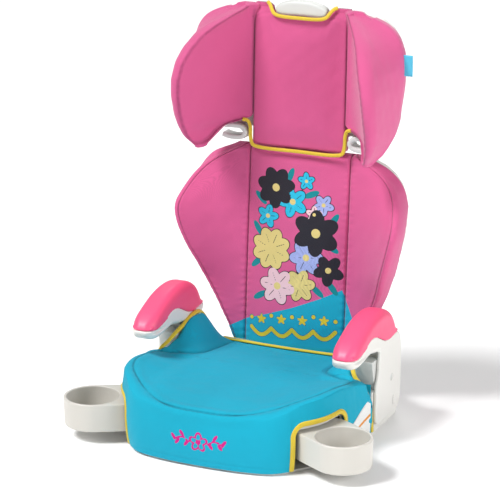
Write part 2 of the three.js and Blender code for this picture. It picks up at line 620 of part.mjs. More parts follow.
const headOutline = mirrored([[0, 456], [84, 456], [88, 458], [118, 458], [124, 484], [150, 492],
  ...smooth([[165, 505], [174, 540], [178, 585], [175, 622], [162, 648], [138, 664], [100, 672]], 10),
  [66, 674], [50, 656], [0, 652]]);

function makeHeadShell() {
  const y0 = HEAD.rearY + GAP;
  const outside = prismXZ(inset(headOutline, 2), y0, y0 + 14);
  const inside = prismXZ(inset(headOutline, 5), y0 + HEAD.shellThick, y0 + 20);
  const spine = common(panelBlock(STEM.half + 4, -10, STEM.y0 - GAP, 380, 500)
    .transform(leaning.matrix.toArray()), panelBlock(60, y0, 240, 440, 600));
  const holes = stemScrews.map((z) => bar([0, 5, z], [0, 40, z], 2.6, 8)
    .transform(leaning.matrix.toArray()));
  const handleRoom = panelBlock(HANDLE.half + 1, y0 - 5, y0 + 9, HANDLE.z0 - 14, 690);
  const linkRoom = panelBlock(LINK.half + 1, y0 + 5, y0 + 20, HANDLE.z0 - 30, 690);
  return biggest(cut(join(cut(outside, inside), spine), handleRoom, linkRoom, overlapWithBack(),
    ...holes));
}

const stemScrews = [400, 450];

function makeStem() {
  const plate = panelBlock(STEM.half, STEM.y0, STEM.y1, STEM.z0, STEM.z1);
  const window = panelBlock(BOLT.half + GAP, STEM.y0 - 1, STEM.y1 + 1, BOLT.z - 3.3, BOLT.z + 3.3);
  const holes = stemScrews.map((z) => bar([0, 15, z], [0, 40, z], 2.6, 8));
  const relief = [240, 300, 360].map((z) => panelBlock(20, STEM.y0 - 1, STEM.y1 + 1, z - 16, z + 16));
  return cut(plate, window, ...holes, ...relief);
}

function makeStemScrew(z) {
  return cut(join(bar([0, STEM.y1 + GAP, z], [0, STEM.y1 + 2, z], 4.5, 12),
    bar([0, 12, z], [0, STEM.y1 + 1, z], 2.3, 8)), panelBlock(9, 5, 9, z - 9, z + 9));
}

function makeBolt() {
  return panelBlock(BOLT.half, RACK.y1 + GAP, STEM.y1 - 1.8, BOLT.z - BOLT.high / 2, BOLT.z + BOLT.high / 2);
}

function makeLink() {
  const { half, y0, y1, z0, z1 } = LINK;
  const lift = 27;                       // how far forward the upper end is cranked
  const strap = prismYZ([[y0, z0], [y1, z0], [y1, z1 - 74], [y1 - lift, z1 - 16], [y1 - lift, z1],
    [y0 - lift, z1], [y0 - lift, z1 - 17], [y0, z1 - 77]], -half, half);
  const eyes = stemScrews.map((z) => panelBlock(4.9, LINK.y0 - 1, LINK.y1 + 1, z - 16, z + 6));
  return cut(strap, ...eyes);
}

function makeHandle() {
  const { half, y0, y1, z0, z1 } = HANDLE;
  const dome = smooth([[half, z0 + 12], [half - 6, z0 + 20], [half - 18, z1 - 5], [0, z1]], 8);
  const outline = mirrored([[0, z0], [half - 4, z0], [half, z0 + 4], ...dome]);
  const body = solidOf(new THREE.ExtrudeGeometry(shapeOf(inset(outline, 3)), {
    depth: y1 - y0 - 6, bevelThickness: 3, bevelSize: 3, bevelSegments: 2,
  }).rotateX(Math.PI / 2).translate(0, y1 - 3, 0));
  const grip = panelBlock(30, y0 + 6, y1 + 5, z0 + 6, z0 + 20);
  const tab = panelBlock(30, HEAD.rearY + 1.5, y1, z0 - 13, z0 + 1);
  return join(cut(body, grip), tab);
}

function makeBeltGuide(sign) {
  const outline = [[90.5, 441], [98, 437], [132, 439], [141, 444], [141, 450], [135, 451], [128, 448],
    [106, 446.5], [101, 451], [103, 457.5], [122, 459.5], [131, 457], [135, 461], [129, 466], [104, 467.5],
    [90.5, 466]];
  return onSide(prismXZ(outline, 182, HEAD.rearY), sign);
}

function makeHeadBinding(where) {
  const paths = {
    top: [[-82, 187, 664], [-66, 190, 673], [-56, 193, 668.5], [-45, 194, 656.5], [0, 194, 654.5],
      [45, 194, 656.5], [56, 193, 668.5], [66, 190, 673], [82, 187, 664]],
    bottom: [[-87, 187.2, 468], [-87, 187, 450], [-85.5, 186.8, 438], [-80, 186.6, 432.5],
      [-68, 186.5, 430.8], [0, 186.5, 430.5], [68, 186.5, 430.8], [80, 186.6, 432.5],
      [85.5, 186.8, 438], [87, 187, 450], [87, 187.2, 468]],
  };
  return piping(paths[where], 2.8, where === 'top' ? 24 : 34);
}

// ---------------------------------------------------------------- assembly
const base = new THREE.Group();
booster.add(base);
add(base, 'seat_shell', makeShell(), 'white');
add(base, 'bottom_tray', makeTray(), 'white');
screwPlaces.forEach(([x, y], i) => add(base, `tray_screw_${i + 1}`, makeScrew(x, y), 'steel'));
add(base, 'seat_foam', makeSeatFoam(), 'foam');
add(base, 'seat_cover', makeSeatCover(), 'blue');
add(base, 'seat_binding_rear', piping([[-120, 170.4, 83.5], [-60, 170.4, 83], [0, 170.4, 83],
  [60, 170.4, 83], [120, 170.4, 83.5]], 2.8, 10), 'yellow');
add(base, 'hinge_rod', bar([-HINGE.rodHalf, HINGE.y, HINGE.z], [HINGE.rodHalf, HINGE.y, HINGE.z],
  HINGE.rodR, 20), 'steel');
add(base, 'side_label_right', makeSideLabel(), 'label');

for (const [side, sign] of SIDES) {
  add(base, `arch_binding_${side}`, onSide(makeArchBinding(), sign), 'yellow');
  add(base, `edge_binding_${side}`, onSide(piping(EDGE_TAPE, 3, 26), sign), 'yellow');
  add(base, `arm_socket_${side}`, onSide(makeSocket(), sign), 'grey');
  add(booster, `cup_holder_${side}`, onSide(makeCupHolder(), sign), 'white');
  add(booster, `arm_body_${side}`, onSide(makeArmBody(), sign), 'white');
  add(booster, `arm_pad_${side}`, onSide(makeArmPad(), sign), 'padPink');
  add(booster, `arm_button_${side}`, onSide(makeArmButton(), sign), 'grey');
  add(booster, `arm_button_spring_${side}`, onSide(coil([BUTTON.x0 - 8, BUTTON.y, BUTTON.z],
    [BUTTON.x0 - 1.2, BUTTON.y, BUTTON.z], 3.6, 0.6, 3), sign), 'steel');
}

add(leaning, 'back_shell', makeBackShell(), 'white');
add(leaning, 'back_foam_center', makeBackFoam(0), 'foam');
add(leaning, 'back_cover', makeBackCover(), 'pink');
add(leaning, 'back_rear_panel', makeRearPanel(), 'white');
add(leaning, 'height_rack', makeRack(), 'grey');
lidScrews.forEach(([x, z], i) => add(leaning, `back_panel_screw_${i + 1}`, makeLidScrew(x, z), 'steel'));
for (const [side, sign] of SIDES) {
  add(leaning, `back_foam_${side}`, makeBackFoam(sign), 'foam');
  add(leaning, `hinge_hook_${side}`, makeHook(sign), 'white');
}

add(booster, 'head_shell', makeHeadShell(), 'white');
add(booster, 'head_foam_center', makeHeadFoam(0), 'foam');
add(booster, 'head_cover', makeHeadCover(), 'pink');
add(booster, 'head_binding_top', makeHeadBinding('top'), 'yellow');
add(booster, 'head_binding_bottom', makeHeadBinding('bottom'), 'yellow');
add(booster, 'head_tag', block(186.5, 204.5, 187, 188.2, 577, 612), 'aqua');
for (const [side, sign] of SIDES) {
  add(booster, `head_foam_${side}`, makeHeadFoam(sign), 'foam');
  add(booster, `belt_guide_${side}`, makeBeltGuide(sign), 'white');
}
add(leaning, 'head_stem', makeStem(), 'grey');
stemScrews.forEach((z, i) => add(leaning, `stem_screw_${i + 1}`, makeStemScrew(z), 'steel'));

add(booster, 'head_handle', makeHandle(), 'grey');
add(leaning, 'handle_link', makeLink(), 'steel');
add(leaning, 'lock_bolt', makeBolt(), 'steel');
add(booster, 'handle_spring', coil([20, 217.4, 626], [20, 217.4, 643], 3.2, 0.7, 5), 'steel');

export default booster;
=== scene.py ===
import math

import bmesh
import bpy
import numpy as np
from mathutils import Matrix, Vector
from mathutils.kdtree import KDTree


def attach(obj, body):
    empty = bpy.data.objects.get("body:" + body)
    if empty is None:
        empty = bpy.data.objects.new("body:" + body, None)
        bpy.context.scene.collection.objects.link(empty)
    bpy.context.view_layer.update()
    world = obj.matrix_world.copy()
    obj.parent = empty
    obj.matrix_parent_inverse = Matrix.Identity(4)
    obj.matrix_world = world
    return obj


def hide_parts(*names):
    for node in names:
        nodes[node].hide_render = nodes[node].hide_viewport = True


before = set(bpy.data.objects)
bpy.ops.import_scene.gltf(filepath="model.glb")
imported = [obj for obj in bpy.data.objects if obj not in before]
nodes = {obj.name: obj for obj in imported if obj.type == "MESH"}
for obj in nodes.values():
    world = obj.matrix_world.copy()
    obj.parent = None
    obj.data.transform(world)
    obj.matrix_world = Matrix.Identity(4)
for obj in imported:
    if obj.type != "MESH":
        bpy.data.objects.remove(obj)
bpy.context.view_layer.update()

MM = 0.001
SIDES = (("left", -1), ("right", 1))


# ------------------------------------------------------------------ camera and light
def aim(obj, target):
    obj.rotation_euler = (Vector(target) - obj.location).to_track_quat("-Z", "Y").to_euler()


CAMERA_PLACE = (1.5479, -3.3609, 1.4369)
CAMERA_TARGET = (-0.00077, 0, 0.30835)
SENSOR_WIDTH, LENS = 36, 171.3


def make_camera():
    data = bpy.data.cameras.new("camera")
    data.sensor_width = SENSOR_WIDTH
    data.lens = LENS
    camera = bpy.data.objects.new("camera", data)
    camera.location = CAMERA_PLACE
    aim(camera, CAMERA_TARGET)
    bpy.context.scene.collection.objects.link(camera)
    bpy.context.scene.camera = camera


def make_light(name, place, target, size, power):
    data = bpy.data.lights.new(name, "AREA")
    data.shape = "DISK"
    data.size = size
    data.energy = power
    lamp = bpy.data.objects.new(name, data)
    lamp.location = place
    aim(lamp, target)
    bpy.context.scene.collection.objects.link(lamp)


def make_studio():
    sun = bpy.data.lights.new("key", "SUN")
    sun.energy = 3.3
    sun.angle = math.radians(20)
    lamp = bpy.data.objects.new("key", sun)
    lamp.location = (-1.4, -1.5, 3.0)
    aim(lamp, (0, 0, 0.2))
    bpy.context.scene.collection.objects.link(lamp)
    make_light("fill", (2.6, -0.9, 1.2), (0, 0, 0.35), 1.4, 46)
    make_light("rim", (-0.6, 2.2, 2.2), (0, 0.1, 0.4), 1.4, 16)
    world = bpy.data.worlds.new("studio")
    world.use_nodes = True
    sky = world.node_tree.nodes["Background"].inputs
    sky["Color"].default_value = (1, 1, 1, 1)
    sky["Strength"].default_value = 0.30
    bpy.context.scene.world = world
    bpy.context.scene.view_settings.view_transform = "Standard"
    bpy.ops.mesh.primitive_plane_add(size=30, location=(0, 0, -0.0005))
    floor = bpy.context.object
    floor.name = "floor"
    paint = bpy.data.materials.new("floor")
    paint.use_nodes = True
    shader = paint.node_tree.nodes["Principled BSDF"]
    shader.inputs["Base Color"].default_value = (0.97, 0.97, 0.97, 1)
    shader.inputs["Roughness"].default_value = 0.7
    floor.data.materials.append(paint)


# ------------------------------------------------------------------ materials
class Graph:
    """A short way to write a material's nodes."""

    def __init__(self, name):
        self.material = bpy.data.materials.new(name)
        self.material.use_nodes = True
        self.tree = self.material.node_tree
        self.shader = self.tree.nodes["Principled BSDF"]

    def node(self, kind, **values):
        made = self.tree.nodes.new("ShaderNode" + kind)
        for key, value in values.items():
            if key in made.inputs:
                self.put(made.inputs[key], value)
            else:
                setattr(made, key, value)
        return made

    def put(self, socket, value):
        if isinstance(value, bpy.types.NodeSocket):
            self.tree.links.new(value, socket)
        else:
            socket.default_value = value

    def math(self, operation, a, b=0.0):
        made = self.tree.nodes.new("ShaderNodeMath")
        made.operation = operation
        self.put(made.inputs[0], a)
        self.put(made.inputs[1], b)
        return made.outputs[0]

    def mix(self, factor, a, b):
        made = self.tree.nodes.new("ShaderNodeMix")
        made.data_type = "RGBA"
        self.put(made.inputs[0], factor)
        self.put(made.inputs[6], a)
        self.put(made.inputs[7], b)
        return made.outputs[2]

    def noise(self, scale, detail=3.0):
        place = self.node("TexCoord").outputs["Object"]
        return self.node("TexNoise", Scale=scale, Detail=detail, Vector=place).outputs["Fac"]

    def attribute(self, name):
        return self.node("Attribute", attribute_name=name).outputs["Fac"]

    def finish(self, color, roughness, height, distance, strength):
        self.put(self.shader.inputs["Base Color"], color)
        self.put(self.shader.inputs["Roughness"], roughness)
        bump = self.node("Bump", Strength=strength, Distance=distance, Height=height)
        self.put(self.shader.inputs["Normal"], bump.outputs[0])
        return self.material


def shade(color, factor):
    """The colour made darker or paler."""
    return tuple(min(1.0, c * factor) for c in color[:3]) + (1,)


def rgba(color):
    return (*color, 1)


def knit(graph):
    """Height of a fine knitted face: two slanting sets of ribs and a little fuzz."""
    flat = graph.node("UVMap", uv_map="weave").outputs[0]
    ribs = []
    for turn in (0.9, -0.9):
        turned = graph.node("Mapping", Rotation=(0, 0, turn), Vector=flat).outputs[0]
        wave = graph.node("TexWave", Scale=330, Distortion=0.6, Vector=turned)
        ribs.append(wave.outputs["Fac"])
    woven = graph.math("MULTIPLY", ribs[0], ribs[1])
    fuzz = graph.noise(900, 2.0)
    return graph.math("ADD", woven, graph.math("MULTIPLY", fuzz, 0.5))


def make_fabric(name, color, prints=(), sheen=0.3):
    """Knitted cover cloth. prints are (attribute, color): where the attribute, a distance
    in millimetres from the printed shape's edge, is negative, the cloth has that color."""
    graph = Graph(name)
    height = knit(graph)
    worn = graph.noise(7, 4.0)
    mottled = graph.mix(worn, shade(color, 0.94), shade(color, 1.05))
    for attribute, ink in prints:
        inside = graph.math("LESS_THAN", graph.attribute(attribute), 0.0)
        mottled = graph.mix(inside, mottled, rgba(ink))
    shaded = graph.mix(graph.math("MULTIPLY", height, 0.22), mottled, (0.02, 0.02, 0.03, 1))
    # Painted shade: along the seam attribute the cloth darkens to near black, standing in for the shadow
    # inside the sewn seam grooves.
    seam_shade = graph.math("MULTIPLY", graph.attribute("seam"), 0.92)
    shaded = graph.mix(seam_shade, shaded, shade(color, 0.22))
    shader = graph.shader.inputs
    shader["Sheen Weight"].default_value = sheen
    shader["Sheen Roughness"].default_value = 0.45
    shader["Specular IOR Level"].default_value = 0.18
    rough = graph.math("ADD", 0.68, graph.math("MULTIPLY", worn, 0.16))
    return graph.finish(shaded, rough, height, 0.00025, 0.45)


def make_tape(name, color):
    """Woven binding tape with ribs across it."""
    graph = Graph(name)
    flat = graph.node("UVMap", uv_map="weave").outputs[0]
    ribs = graph.node("TexWave", Scale=260, Distortion=0.3, Vector=flat).outputs["Fac"]
    fuzz = graph.noise(700, 2.0)
    height = graph.math("ADD", ribs, graph.math("MULTIPLY", fuzz, 0.6))
    body = graph.mix(graph.noise(30, 2.0), shade(color, 0.9), shade(color, 1.08))
    # Painted shade: the colour darkens along the ribs' pattern, standing in for the shadow between the
    # woven ribs.
    body = graph.mix(graph.math("MULTIPLY", height, 0.2), body, shade(color, 0.45))
    graph.shader.inputs["Sheen Weight"].default_value = 0.2
    return graph.finish(body, 0.72, height, 0.0003, 0.5)


def make_plastic(name, color, roughness, grain=0.25):
    """Moulded polypropylene: fine spark-eroded grain, uneven gloss, paler worn edges."""
    graph = Graph(name)
    grain_height = graph.noise(1500, 3.0)
    cloud = graph.noise(5, 3.0)
    body = graph.mix(cloud, shade(color, 0.97), shade(color, 1.02))
    edge = graph.node("NewGeometry").outputs["Pointiness"]
    worn = graph.node("MapRange", **{"Value": edge, "From Min": 0.52, "From Max": 0.6})
    body = graph.mix(graph.math("MULTIPLY", worn.outputs[0], 0.35), body, shade(color, 1.12))
    rough = graph.math("ADD", roughness - 0.05, graph.math("MULTIPLY", graph.noise(60, 3.0), 0.12))
    return graph.finish(body, rough, grain_height, 0.00006, grain)


def make_metal(name):
    """Zinc-plated steel with fine brushing."""
    graph = Graph(name)
    graph.shader.inputs["Metallic"].default_value = 1.0
    brushed = graph.noise(400, 2.0)
    body = graph.mix(brushed, (0.5, 0.51, 0.53, 1), (0.68, 0.69, 0.7, 1))
    rough = graph.math("ADD", 0.24, graph.math("MULTIPLY", brushed, 0.15))
    return graph.finish(body, rough, brushed, 0.00005, 0.3)


PINK = (0.67, 0.105, 0.275)
BLUE = (0.003, 0.385, 0.55)
YELLOW = (0.76, 0.56, 0.03)
CORAL = (0.85, 0.085, 0.205)
WHITE = (0.71, 0.70, 0.665)
GREY = (0.60, 0.61, 0.59)
TEAL = (0.02, 0.50, 0.72)
LILAC = (0.36, 0.42, 0.76)
BLOSH = (0.83, 0.55, 0.60)
NIGHT = (0.018, 0.016, 0.024)
CREAM = (0.74, 0.60, 0.22)
MAGENTA = (0.62, 0.01, 0.22)


# ------------------------------------------------------------------ curves and tables
def run_along(points):
    """Length from a line's first point to each of its points."""
    return np.r_[0, np.cumsum(np.linalg.norm(np.diff(points, axis=0), axis=1))]


def resample(points, count, closed=False):
    """The same line with evenly spaced points."""
    line = np.vstack([points, points[:1]]) if closed else np.asarray(points, float)
    run = run_along(line)
    at = np.linspace(0, run[-1], count + 1)[:-1] if closed else np.linspace(0, run[-1], count)
    return np.stack([np.interp(at, run, column) for column in line.T], -1)


def spline(points, count, closed=False):
    """A smooth curve through the points, with evenly spaced results."""
    p = np.array(points, float)
    whole = len(p)
    if closed:
        p = np.vstack([p[-2:], p, p[:3]])
    knots = np.r_[0, np.cumsum(np.sqrt(np.linalg.norm(np.diff(p, axis=0), axis=1)))]
    slope = np.gradient(p, knots, axis=0)
    first, last = (knots[2], knots[2 + whole]) if closed else (knots[0], knots[-1])
    t = np.linspace(first, last, 12 * len(p) + 4 * count)
    i = np.clip(np.searchsorted(knots, t, "right") - 1, 0, len(knots) - 2)
    gap = (knots[i + 1] - knots[i])[:, None]
    u = ((t - knots[i]) / gap[:, 0])[:, None]
    dense = ((2 * u**3 - 3 * u**2 + 1) * p[i] + (u**3 - 2 * u**2 + u) * gap * slope[i]
             + (3 * u**2 - 2 * u**3) * p[i + 1] + (u**3 - u**2) * gap * slope[i + 1])
    return resample(dense[:-1] if closed else dense, count, closed)


def faired(rows, blur):
    """Values that pass smoothly between the rows of a table whose first column rises."""
    rows = np.array(rows, float)
    reach = int(3 * blur)
    keys = np.arange(rows[0, 0] - 2 * reach, rows[-1, 0] + 2 * reach + 1)
    weights = np.exp(-0.5 * (np.arange(-reach, reach + 1) / blur) ** 2)
    weights /= weights.sum()
    columns = [np.convolve(np.interp(keys, rows[:, 0], c), weights, "same") for c in rows[:, 1:].T]
    return lambda key: np.stack([np.interp(key, keys, c) for c in columns], -1)


def step(value, low, high):
    """Rises smoothly from 0 at low to 1 at high."""
    t = np.clip((np.asarray(value, float) - low) / (high - low), 0, 1)
    return t * t * (3 - 2 * t)


def bell(distance, width):
    """1 at no distance, fading to 0 within about twice the width."""
    return np.exp(-(np.asarray(distance) / width) ** 2)


def bezier(a, b, c, t):
    """The curve from a to c that leans toward b, at the values t from 0 to 1."""
    t = np.asarray(t)[:, None]
    return (1 - t) ** 2 * np.array(a) + 2 * t * (1 - t) * np.array(b) + t * t * np.array(c)


def ripples(u, v, seed, size):
    """Gentle uneven waves, from about -1 to 1, of roughly that size in millimetres."""
    turn = np.random.default_rng(seed)
    total = np.zeros(np.broadcast(u, v).shape)
    for _ in range(6):
        angle, phase = turn.uniform(0, 2 * math.pi, 2)
        wave = 2 * math.pi / (size * turn.uniform(0.7, 1.6))
        total += np.sin(wave * (u * math.cos(angle) + v * math.sin(angle)) + phase)
    return total / 4


# ------------------------------------------------------------------ meshes
def normals(points, wrap=False):
    """Unit normals of a grid of points, whose rows are closed where wrap is true."""
    if wrap:
        ringed = np.concatenate([points[:, -1:], points, points[:, :1]], 1)
        across = ringed[:, 2:] - ringed[:, :-2]
    else:
        across = np.gradient(points, axis=1)
    normal = np.cross(across, np.gradient(points, axis=0))
    return normal / np.maximum(np.linalg.norm(normal, axis=2, keepdims=True), 1e-9)


class Solid:
    """Collects grids of points, in millimetres, into one mesh."""

    def __init__(self):
        self.points, self.faces, self.uvs, self.count = [], [], [], 0

    def grid(self, points, wrap=False):
        rows, columns = points.shape[:2]
        index = self.count + np.arange(rows * columns).reshape(rows, columns)
        self.points.append(points.reshape(-1, 3))
        self.count += rows * columns
        closed = np.concatenate([points, points[:, :1]], 1) if wrap else points
        if wrap:
            index = np.concatenate([index, index[:, :1]], 1)
        along = np.linalg.norm(np.diff(closed, axis=1), axis=2)
        down = np.linalg.norm(np.diff(closed, axis=0), axis=2)
        uv = np.stack([np.c_[np.zeros(len(along)), np.cumsum(along, 1)],
                       np.r_[np.zeros((1, closed.shape[1])), np.cumsum(down, 0)]], -1) * MM

        def corners(a):
            return np.stack([a[:-1, :-1], a[:-1, 1:], a[1:, 1:], a[1:, :-1]], 2)
        self.faces += corners(index).reshape(-1, 4).tolist()
        self.uvs.append(corners(uv).reshape(-1, 2))
        return self

    def loft(self, rings):
        """Closed rings with a round cap at both ends, each cap drawn in to its middle."""
        middle = [np.broadcast_to(ring.mean(0), ring.shape) for ring in (rings[0], rings[-1])]
        return self.grid(np.array([middle[0], *rings, middle[1]]), wrap=True)

    def add(self, other):
        self.faces += [[i + self.count for i in face] for face in other.faces]
        self.points += other.points
        self.uvs += other.uvs
        self.count += other.count
        return self

    def mesh(self, name, sign=1):
        mesh = bpy.data.meshes.new(name)
        points = np.concatenate(self.points) * MM * np.array([sign, 1, 1])
        mesh.from_pydata(points.tolist(), [], self.faces)
        layer = mesh.uv_layers.new(name="weave")
        layer.data.foreach_set("uv", np.concatenate(self.uvs).ravel().astype(np.float32))
        clean(mesh)
        return mesh


def clean(mesh):
    """Joins points that coincide, drops faces without area and turns all faces outward."""
    bm = bmesh.new()
    bm.from_mesh(mesh)
    bmesh.ops.remove_doubles(bm, verts=bm.verts, dist=1e-5)
    bmesh.ops.dissolve_degenerate(bm, edges=bm.edges, dist=1e-6)
    bmesh.ops.recalc_face_normals(bm, faces=bm.faces)
    bm.to_mesh(mesh)
    bm.free()


def unit(vectors):
    return vectors / np.linalg.norm(vectors, axis=-1, keepdims=True)


def ribbon(path, faces, width, thick, sides, square):
    """A flattened section along a path; faces gives the direction that its flat side looks,
    and square, from 1 for an oval downward, how square the section is."""
    ahead = unit(np.gradient(path, axis=0))
    up = unit(faces - ahead * np.sum(faces * ahead, 1, keepdims=True))
    side = np.cross(ahead, up)
    angle = np.linspace(0, 2 * math.pi, sides, endpoint=False)
    c, s = np.cos(angle), np.sin(angle)
    c, s = np.sign(c) * np.abs(c) ** square, np.sign(s) * np.abs(s) ** square
    rings = [p + np.outer(c * width / 2, b) + np.outer(s * thick / 2, n)
             for p, b, n in zip(path, side, up)]
    return Solid().loft(rings)


def stitches(path, faces, pitch, length, radius):
    """Separate thread stitches lying along a path."""
    run = run_along(path)
    made = Solid()
    angle = np.linspace(0, 2 * math.pi, 6, endpoint=False)
    for start in np.arange(pitch / 2, run[-1] - length, pitch):
        at = start + np.array([0, 0.2, 0.8, 1.0]) * length
        spots = np.stack([np.interp(at, run, column) for column in path.T], -1)
        up = unit(np.stack([np.interp(at, run, column) for column in faces.T], -1))
        spots = spots + up * (radius * np.array([-0.6, 0.6, 0.6, -0.6]))[:, None]
        side = np.cross(unit(spots[-1] - spots[0]), up[1])
        size = radius * np.array([0.5, 1, 1, 0.5])
        made.loft([p + r * (np.outer(np.cos(angle), side) + np.outer(np.sin(angle), up[1]))
                   for p, r in zip(spots, size)])
    return made


def link(name, solid, material, body, stands_for, sign=1, marks=None):
    """Makes a piece out of a solid, mirrored where sign is -1, with its material and with
    marks, which are attributes that the material reads, and tells the frame about it."""
    mesh = solid.mesh(name, sign)
    obj = bpy.data.objects.new(name, mesh)
    bpy.context.scene.collection.objects.link(obj)
    mesh.materials.append(material)
    mesh.shade_smooth()
    if marks:
        where = np.zeros(len(mesh.vertices) * 3)
        mesh.vertices.foreach_get("co", where)
        where = where.reshape(-1, 3) / MM
        for mark, value in marks.items():
            layer = mesh.attributes.new(mark, "FLOAT", "POINT")
            layer.data.foreach_set("value", value(where).astype(np.float32))
    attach(obj, body)
    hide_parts(*stands_for)
    return obj


def settle(obj, *modifiers):
    """Applies modifiers, given as (kind, {setting: value}), to the piece's mesh."""
    for kind, settings in modifiers:
        modifier = obj.modifiers.new(kind.lower(), kind)
        for key, value in settings.items():
            setattr(modifier, key, value)
    graph = bpy.context.evaluated_depsgraph_get()
    mesh = bpy.data.meshes.new_from_object(obj.evaluated_get(graph))
    obj.modifiers.clear()
    obj.data = mesh
    obj.data.shade_smooth()


def fuse(obj, voxel, passes):
    """Turns overlapping solids into one smooth skin, at a voxel size in millimetres."""
    settle(obj, ("REMESH", {"mode": "VOXEL", "voxel_size": voxel * MM}),
           ("SMOOTH", {"factor": 0.5, "iterations": passes}))


def cut(obj, solid, sign=1, *after):
    """Cuts a solid out of the piece and then applies the modifiers given after it."""
    cutter = bpy.data.objects.new("cutter", solid.mesh("cutter", sign))
    bpy.context.scene.collection.objects.link(cutter)
    settle(obj, ("BOOLEAN", {"operation": "DIFFERENCE", "object": cutter, "solver": "EXACT"}), *after)
    bpy.data.objects.remove(cutter)


def softened(outline, rounds):
    """A closed outline with each point drawn toward the two beside it, that many times."""
    for _ in range(rounds):
        outline = 0.5 * outline + 0.25 * (np.roll(outline, 1, 0) + np.roll(outline, -1, 0))
    return outline


def inset(outline, distance, rounds):
    """A closed outline, counter-clockwise, moved inward by a distance at each point."""
    ahead = np.roll(outline, -1, 0) - np.roll(outline, 1, 0)
    inward = unit(np.stack([-ahead[:, 1], ahead[:, 0]], -1))
    return softened(outline + inward * np.broadcast_to(distance, len(outline))[:, None], rounds)


def counterclockwise(outline):
    x, y = outline.T
    area = np.sum(x * np.roll(y, -1) - np.roll(x, -1) * y)
    return outline if area > 0 else outline[::-1]


def moulded(outline, low, high, radius, place, rounds, steps):
    """A plate of an outline with round edges. radius may differ from point to point, place
    turns (u, v, w) columns into frame coordinates, rounds softens the edge's outline and
    steps is the number of facets of the edge."""
    outline = counterclockwise(np.asarray(outline, float))
    radius = np.broadcast_to(radius, len(outline)).astype(float)
    middle, half = (low + high) / 2, (high - low) / 2
    rings = []
    quarter = np.linspace(0, math.pi / 2, steps + 1)
    for side in (-1, 1):
        for angle in quarter[::-side]:
            flat = inset(outline, radius * (1 - math.sin(angle)), rounds if angle < 1.5 else 0)
            w = middle + side * (half - radius + radius * math.cos(angle))
            rings.append(place(flat[:, 0], flat[:, 1], w))
    cap = inset(outline, radius + 0.4, rounds)
    first = place(cap[:, 0], cap[:, 1], low + 0 * radius)
    final = place(cap[:, 0], cap[:, 1], high + 0 * radius)
    return Solid().loft([first, *rings, final])


def box_outline(low_u, high_u, low_v, high_v, count):
    """A rectangle of that many evenly spaced points."""
    corners = [(low_u, low_v), (high_u, low_v), (high_u, high_v), (low_u, high_v)]
    return resample(np.array(corners, float), count, closed=True)


def along_x(u, v, w):
    return np.stack([w, u, v], -1)


def along_y(u, v, w):
    return np.stack([u, w, v], -1)


def along_z(u, v, w):
    return np.stack([u, v, w], -1)


# ------------------------------------------------------------------ shapes shared with the frame
LEAN = math.radians(4)
FOOT_Y, FOOT_Z = 174, 80
FABRIC = 2.5
PANEL = 92                      # half width of the back's middle panel


def leaning(points):
    """From the back's own frame, where y is its depth and z its height, to the seat's."""
    x, y, z = np.moveaxis(np.asarray(points, float), -1, 0)
    return np.stack([x, FOOT_Y + y * math.cos(LEAN) + z * math.sin(LEAN),
                     FOOT_Z - y * math.sin(LEAN) + z * math.cos(LEAN)], -1)


def upright(points):
    """The reverse of leaning."""
    x, y, z = np.moveaxis(np.asarray(points, float), -1, 0)
    y, z = y - FOOT_Y, z - FOOT_Z
    return np.stack([x, y * math.cos(LEAN) - z * math.sin(LEAN),
                     y * math.sin(LEAN) + z * math.cos(LEAN)], -1)


def distance_to(line, points):
    """Distance from each of the points to the nearest point of the line."""
    tree = KDTree(len(line))
    for i, spot in enumerate(line):
        tree.insert(spot, i)
    tree.balance()
    return np.array([tree.find(p)[2] for p in points.reshape(-1, 3)]).reshape(points.shape[:-1])


def mirrored(points):
    """The same points on the other side of the seat."""
    return points * (-1, 1, 1)


def near(lines, width):
    """A mark that is 1 on the lines and fades to 0 within the width."""
    return lambda where: bell(distance_to(np.concatenate(lines), where), width)


# ------------------------------------------------------------------ printed shapes
# Each returns the distance in millimetres from the shape's edge, negative inside it.
def disc(x, z, cx, cz, r):
    return np.hypot(x - cx, z - cz) - r


def oval(x, z, cx, cz, along, across, turn):
    c, s = math.cos(turn), math.sin(turn)
    u, v = (x - cx) * c + (z - cz) * s, (z - cz) * c - (x - cx) * s
    size = np.hypot(u / along, v / across)
    return (size - 1) * min(along, across)


def flower(x, z, cx, cz, size, petals, turn):
    """Petals round a middle."""
    shapes = [oval(x, z, cx + 0.55 * size * math.cos(a), cz + 0.55 * size * math.sin(a),
                   0.47 * size, 0.33 * size, a)
              for a in turn + 2 * math.pi * np.arange(petals) / petals]
    return np.minimum.reduce(shapes)


def veins(x, z, cx, cz, size, petals, turn):
    """A line along the middle of each petal of the same flower."""
    lines = []
    for a in turn + 2 * math.pi * np.arange(petals) / petals:
        ends = [(cx + out * size * math.cos(a), cz + out * size * math.sin(a)) for out in (0.3, 0.75)]
        lines.append(stroke(x, z, ends, 0.6))
    return np.minimum.reduce(lines)


def stroke(x, z, points, half):
    """A line of constant width through points."""
    points = np.asarray(points, float)
    best = np.full(np.shape(x), 1e6)
    for (ax, az), (bx, bz) in zip(points[:-1], points[1:]):
        dx, dz = bx - ax, bz - az
        t = np.clip(((x - ax) * dx + (z - az) * dz) / max(dx * dx + dz * dz, 1e-9), 0, 1)
        best = np.minimum(best, np.hypot(x - ax - t * dx, z - az - t * dz))
    return best - half


def star(x, z, cx, cz, size):
    """Five points, with one of them upward."""
    angle = np.arctan2(z - cz, x - cx) - math.pi / 2
    spike = np.abs((angle / (2 * math.pi / 5) + 0.5) % 1 - 0.5) * 2
    return np.hypot(x - cx, z - cz) - size * (1 - 0.56 * np.minimum(1, spike * 1.15) ** 0.85)


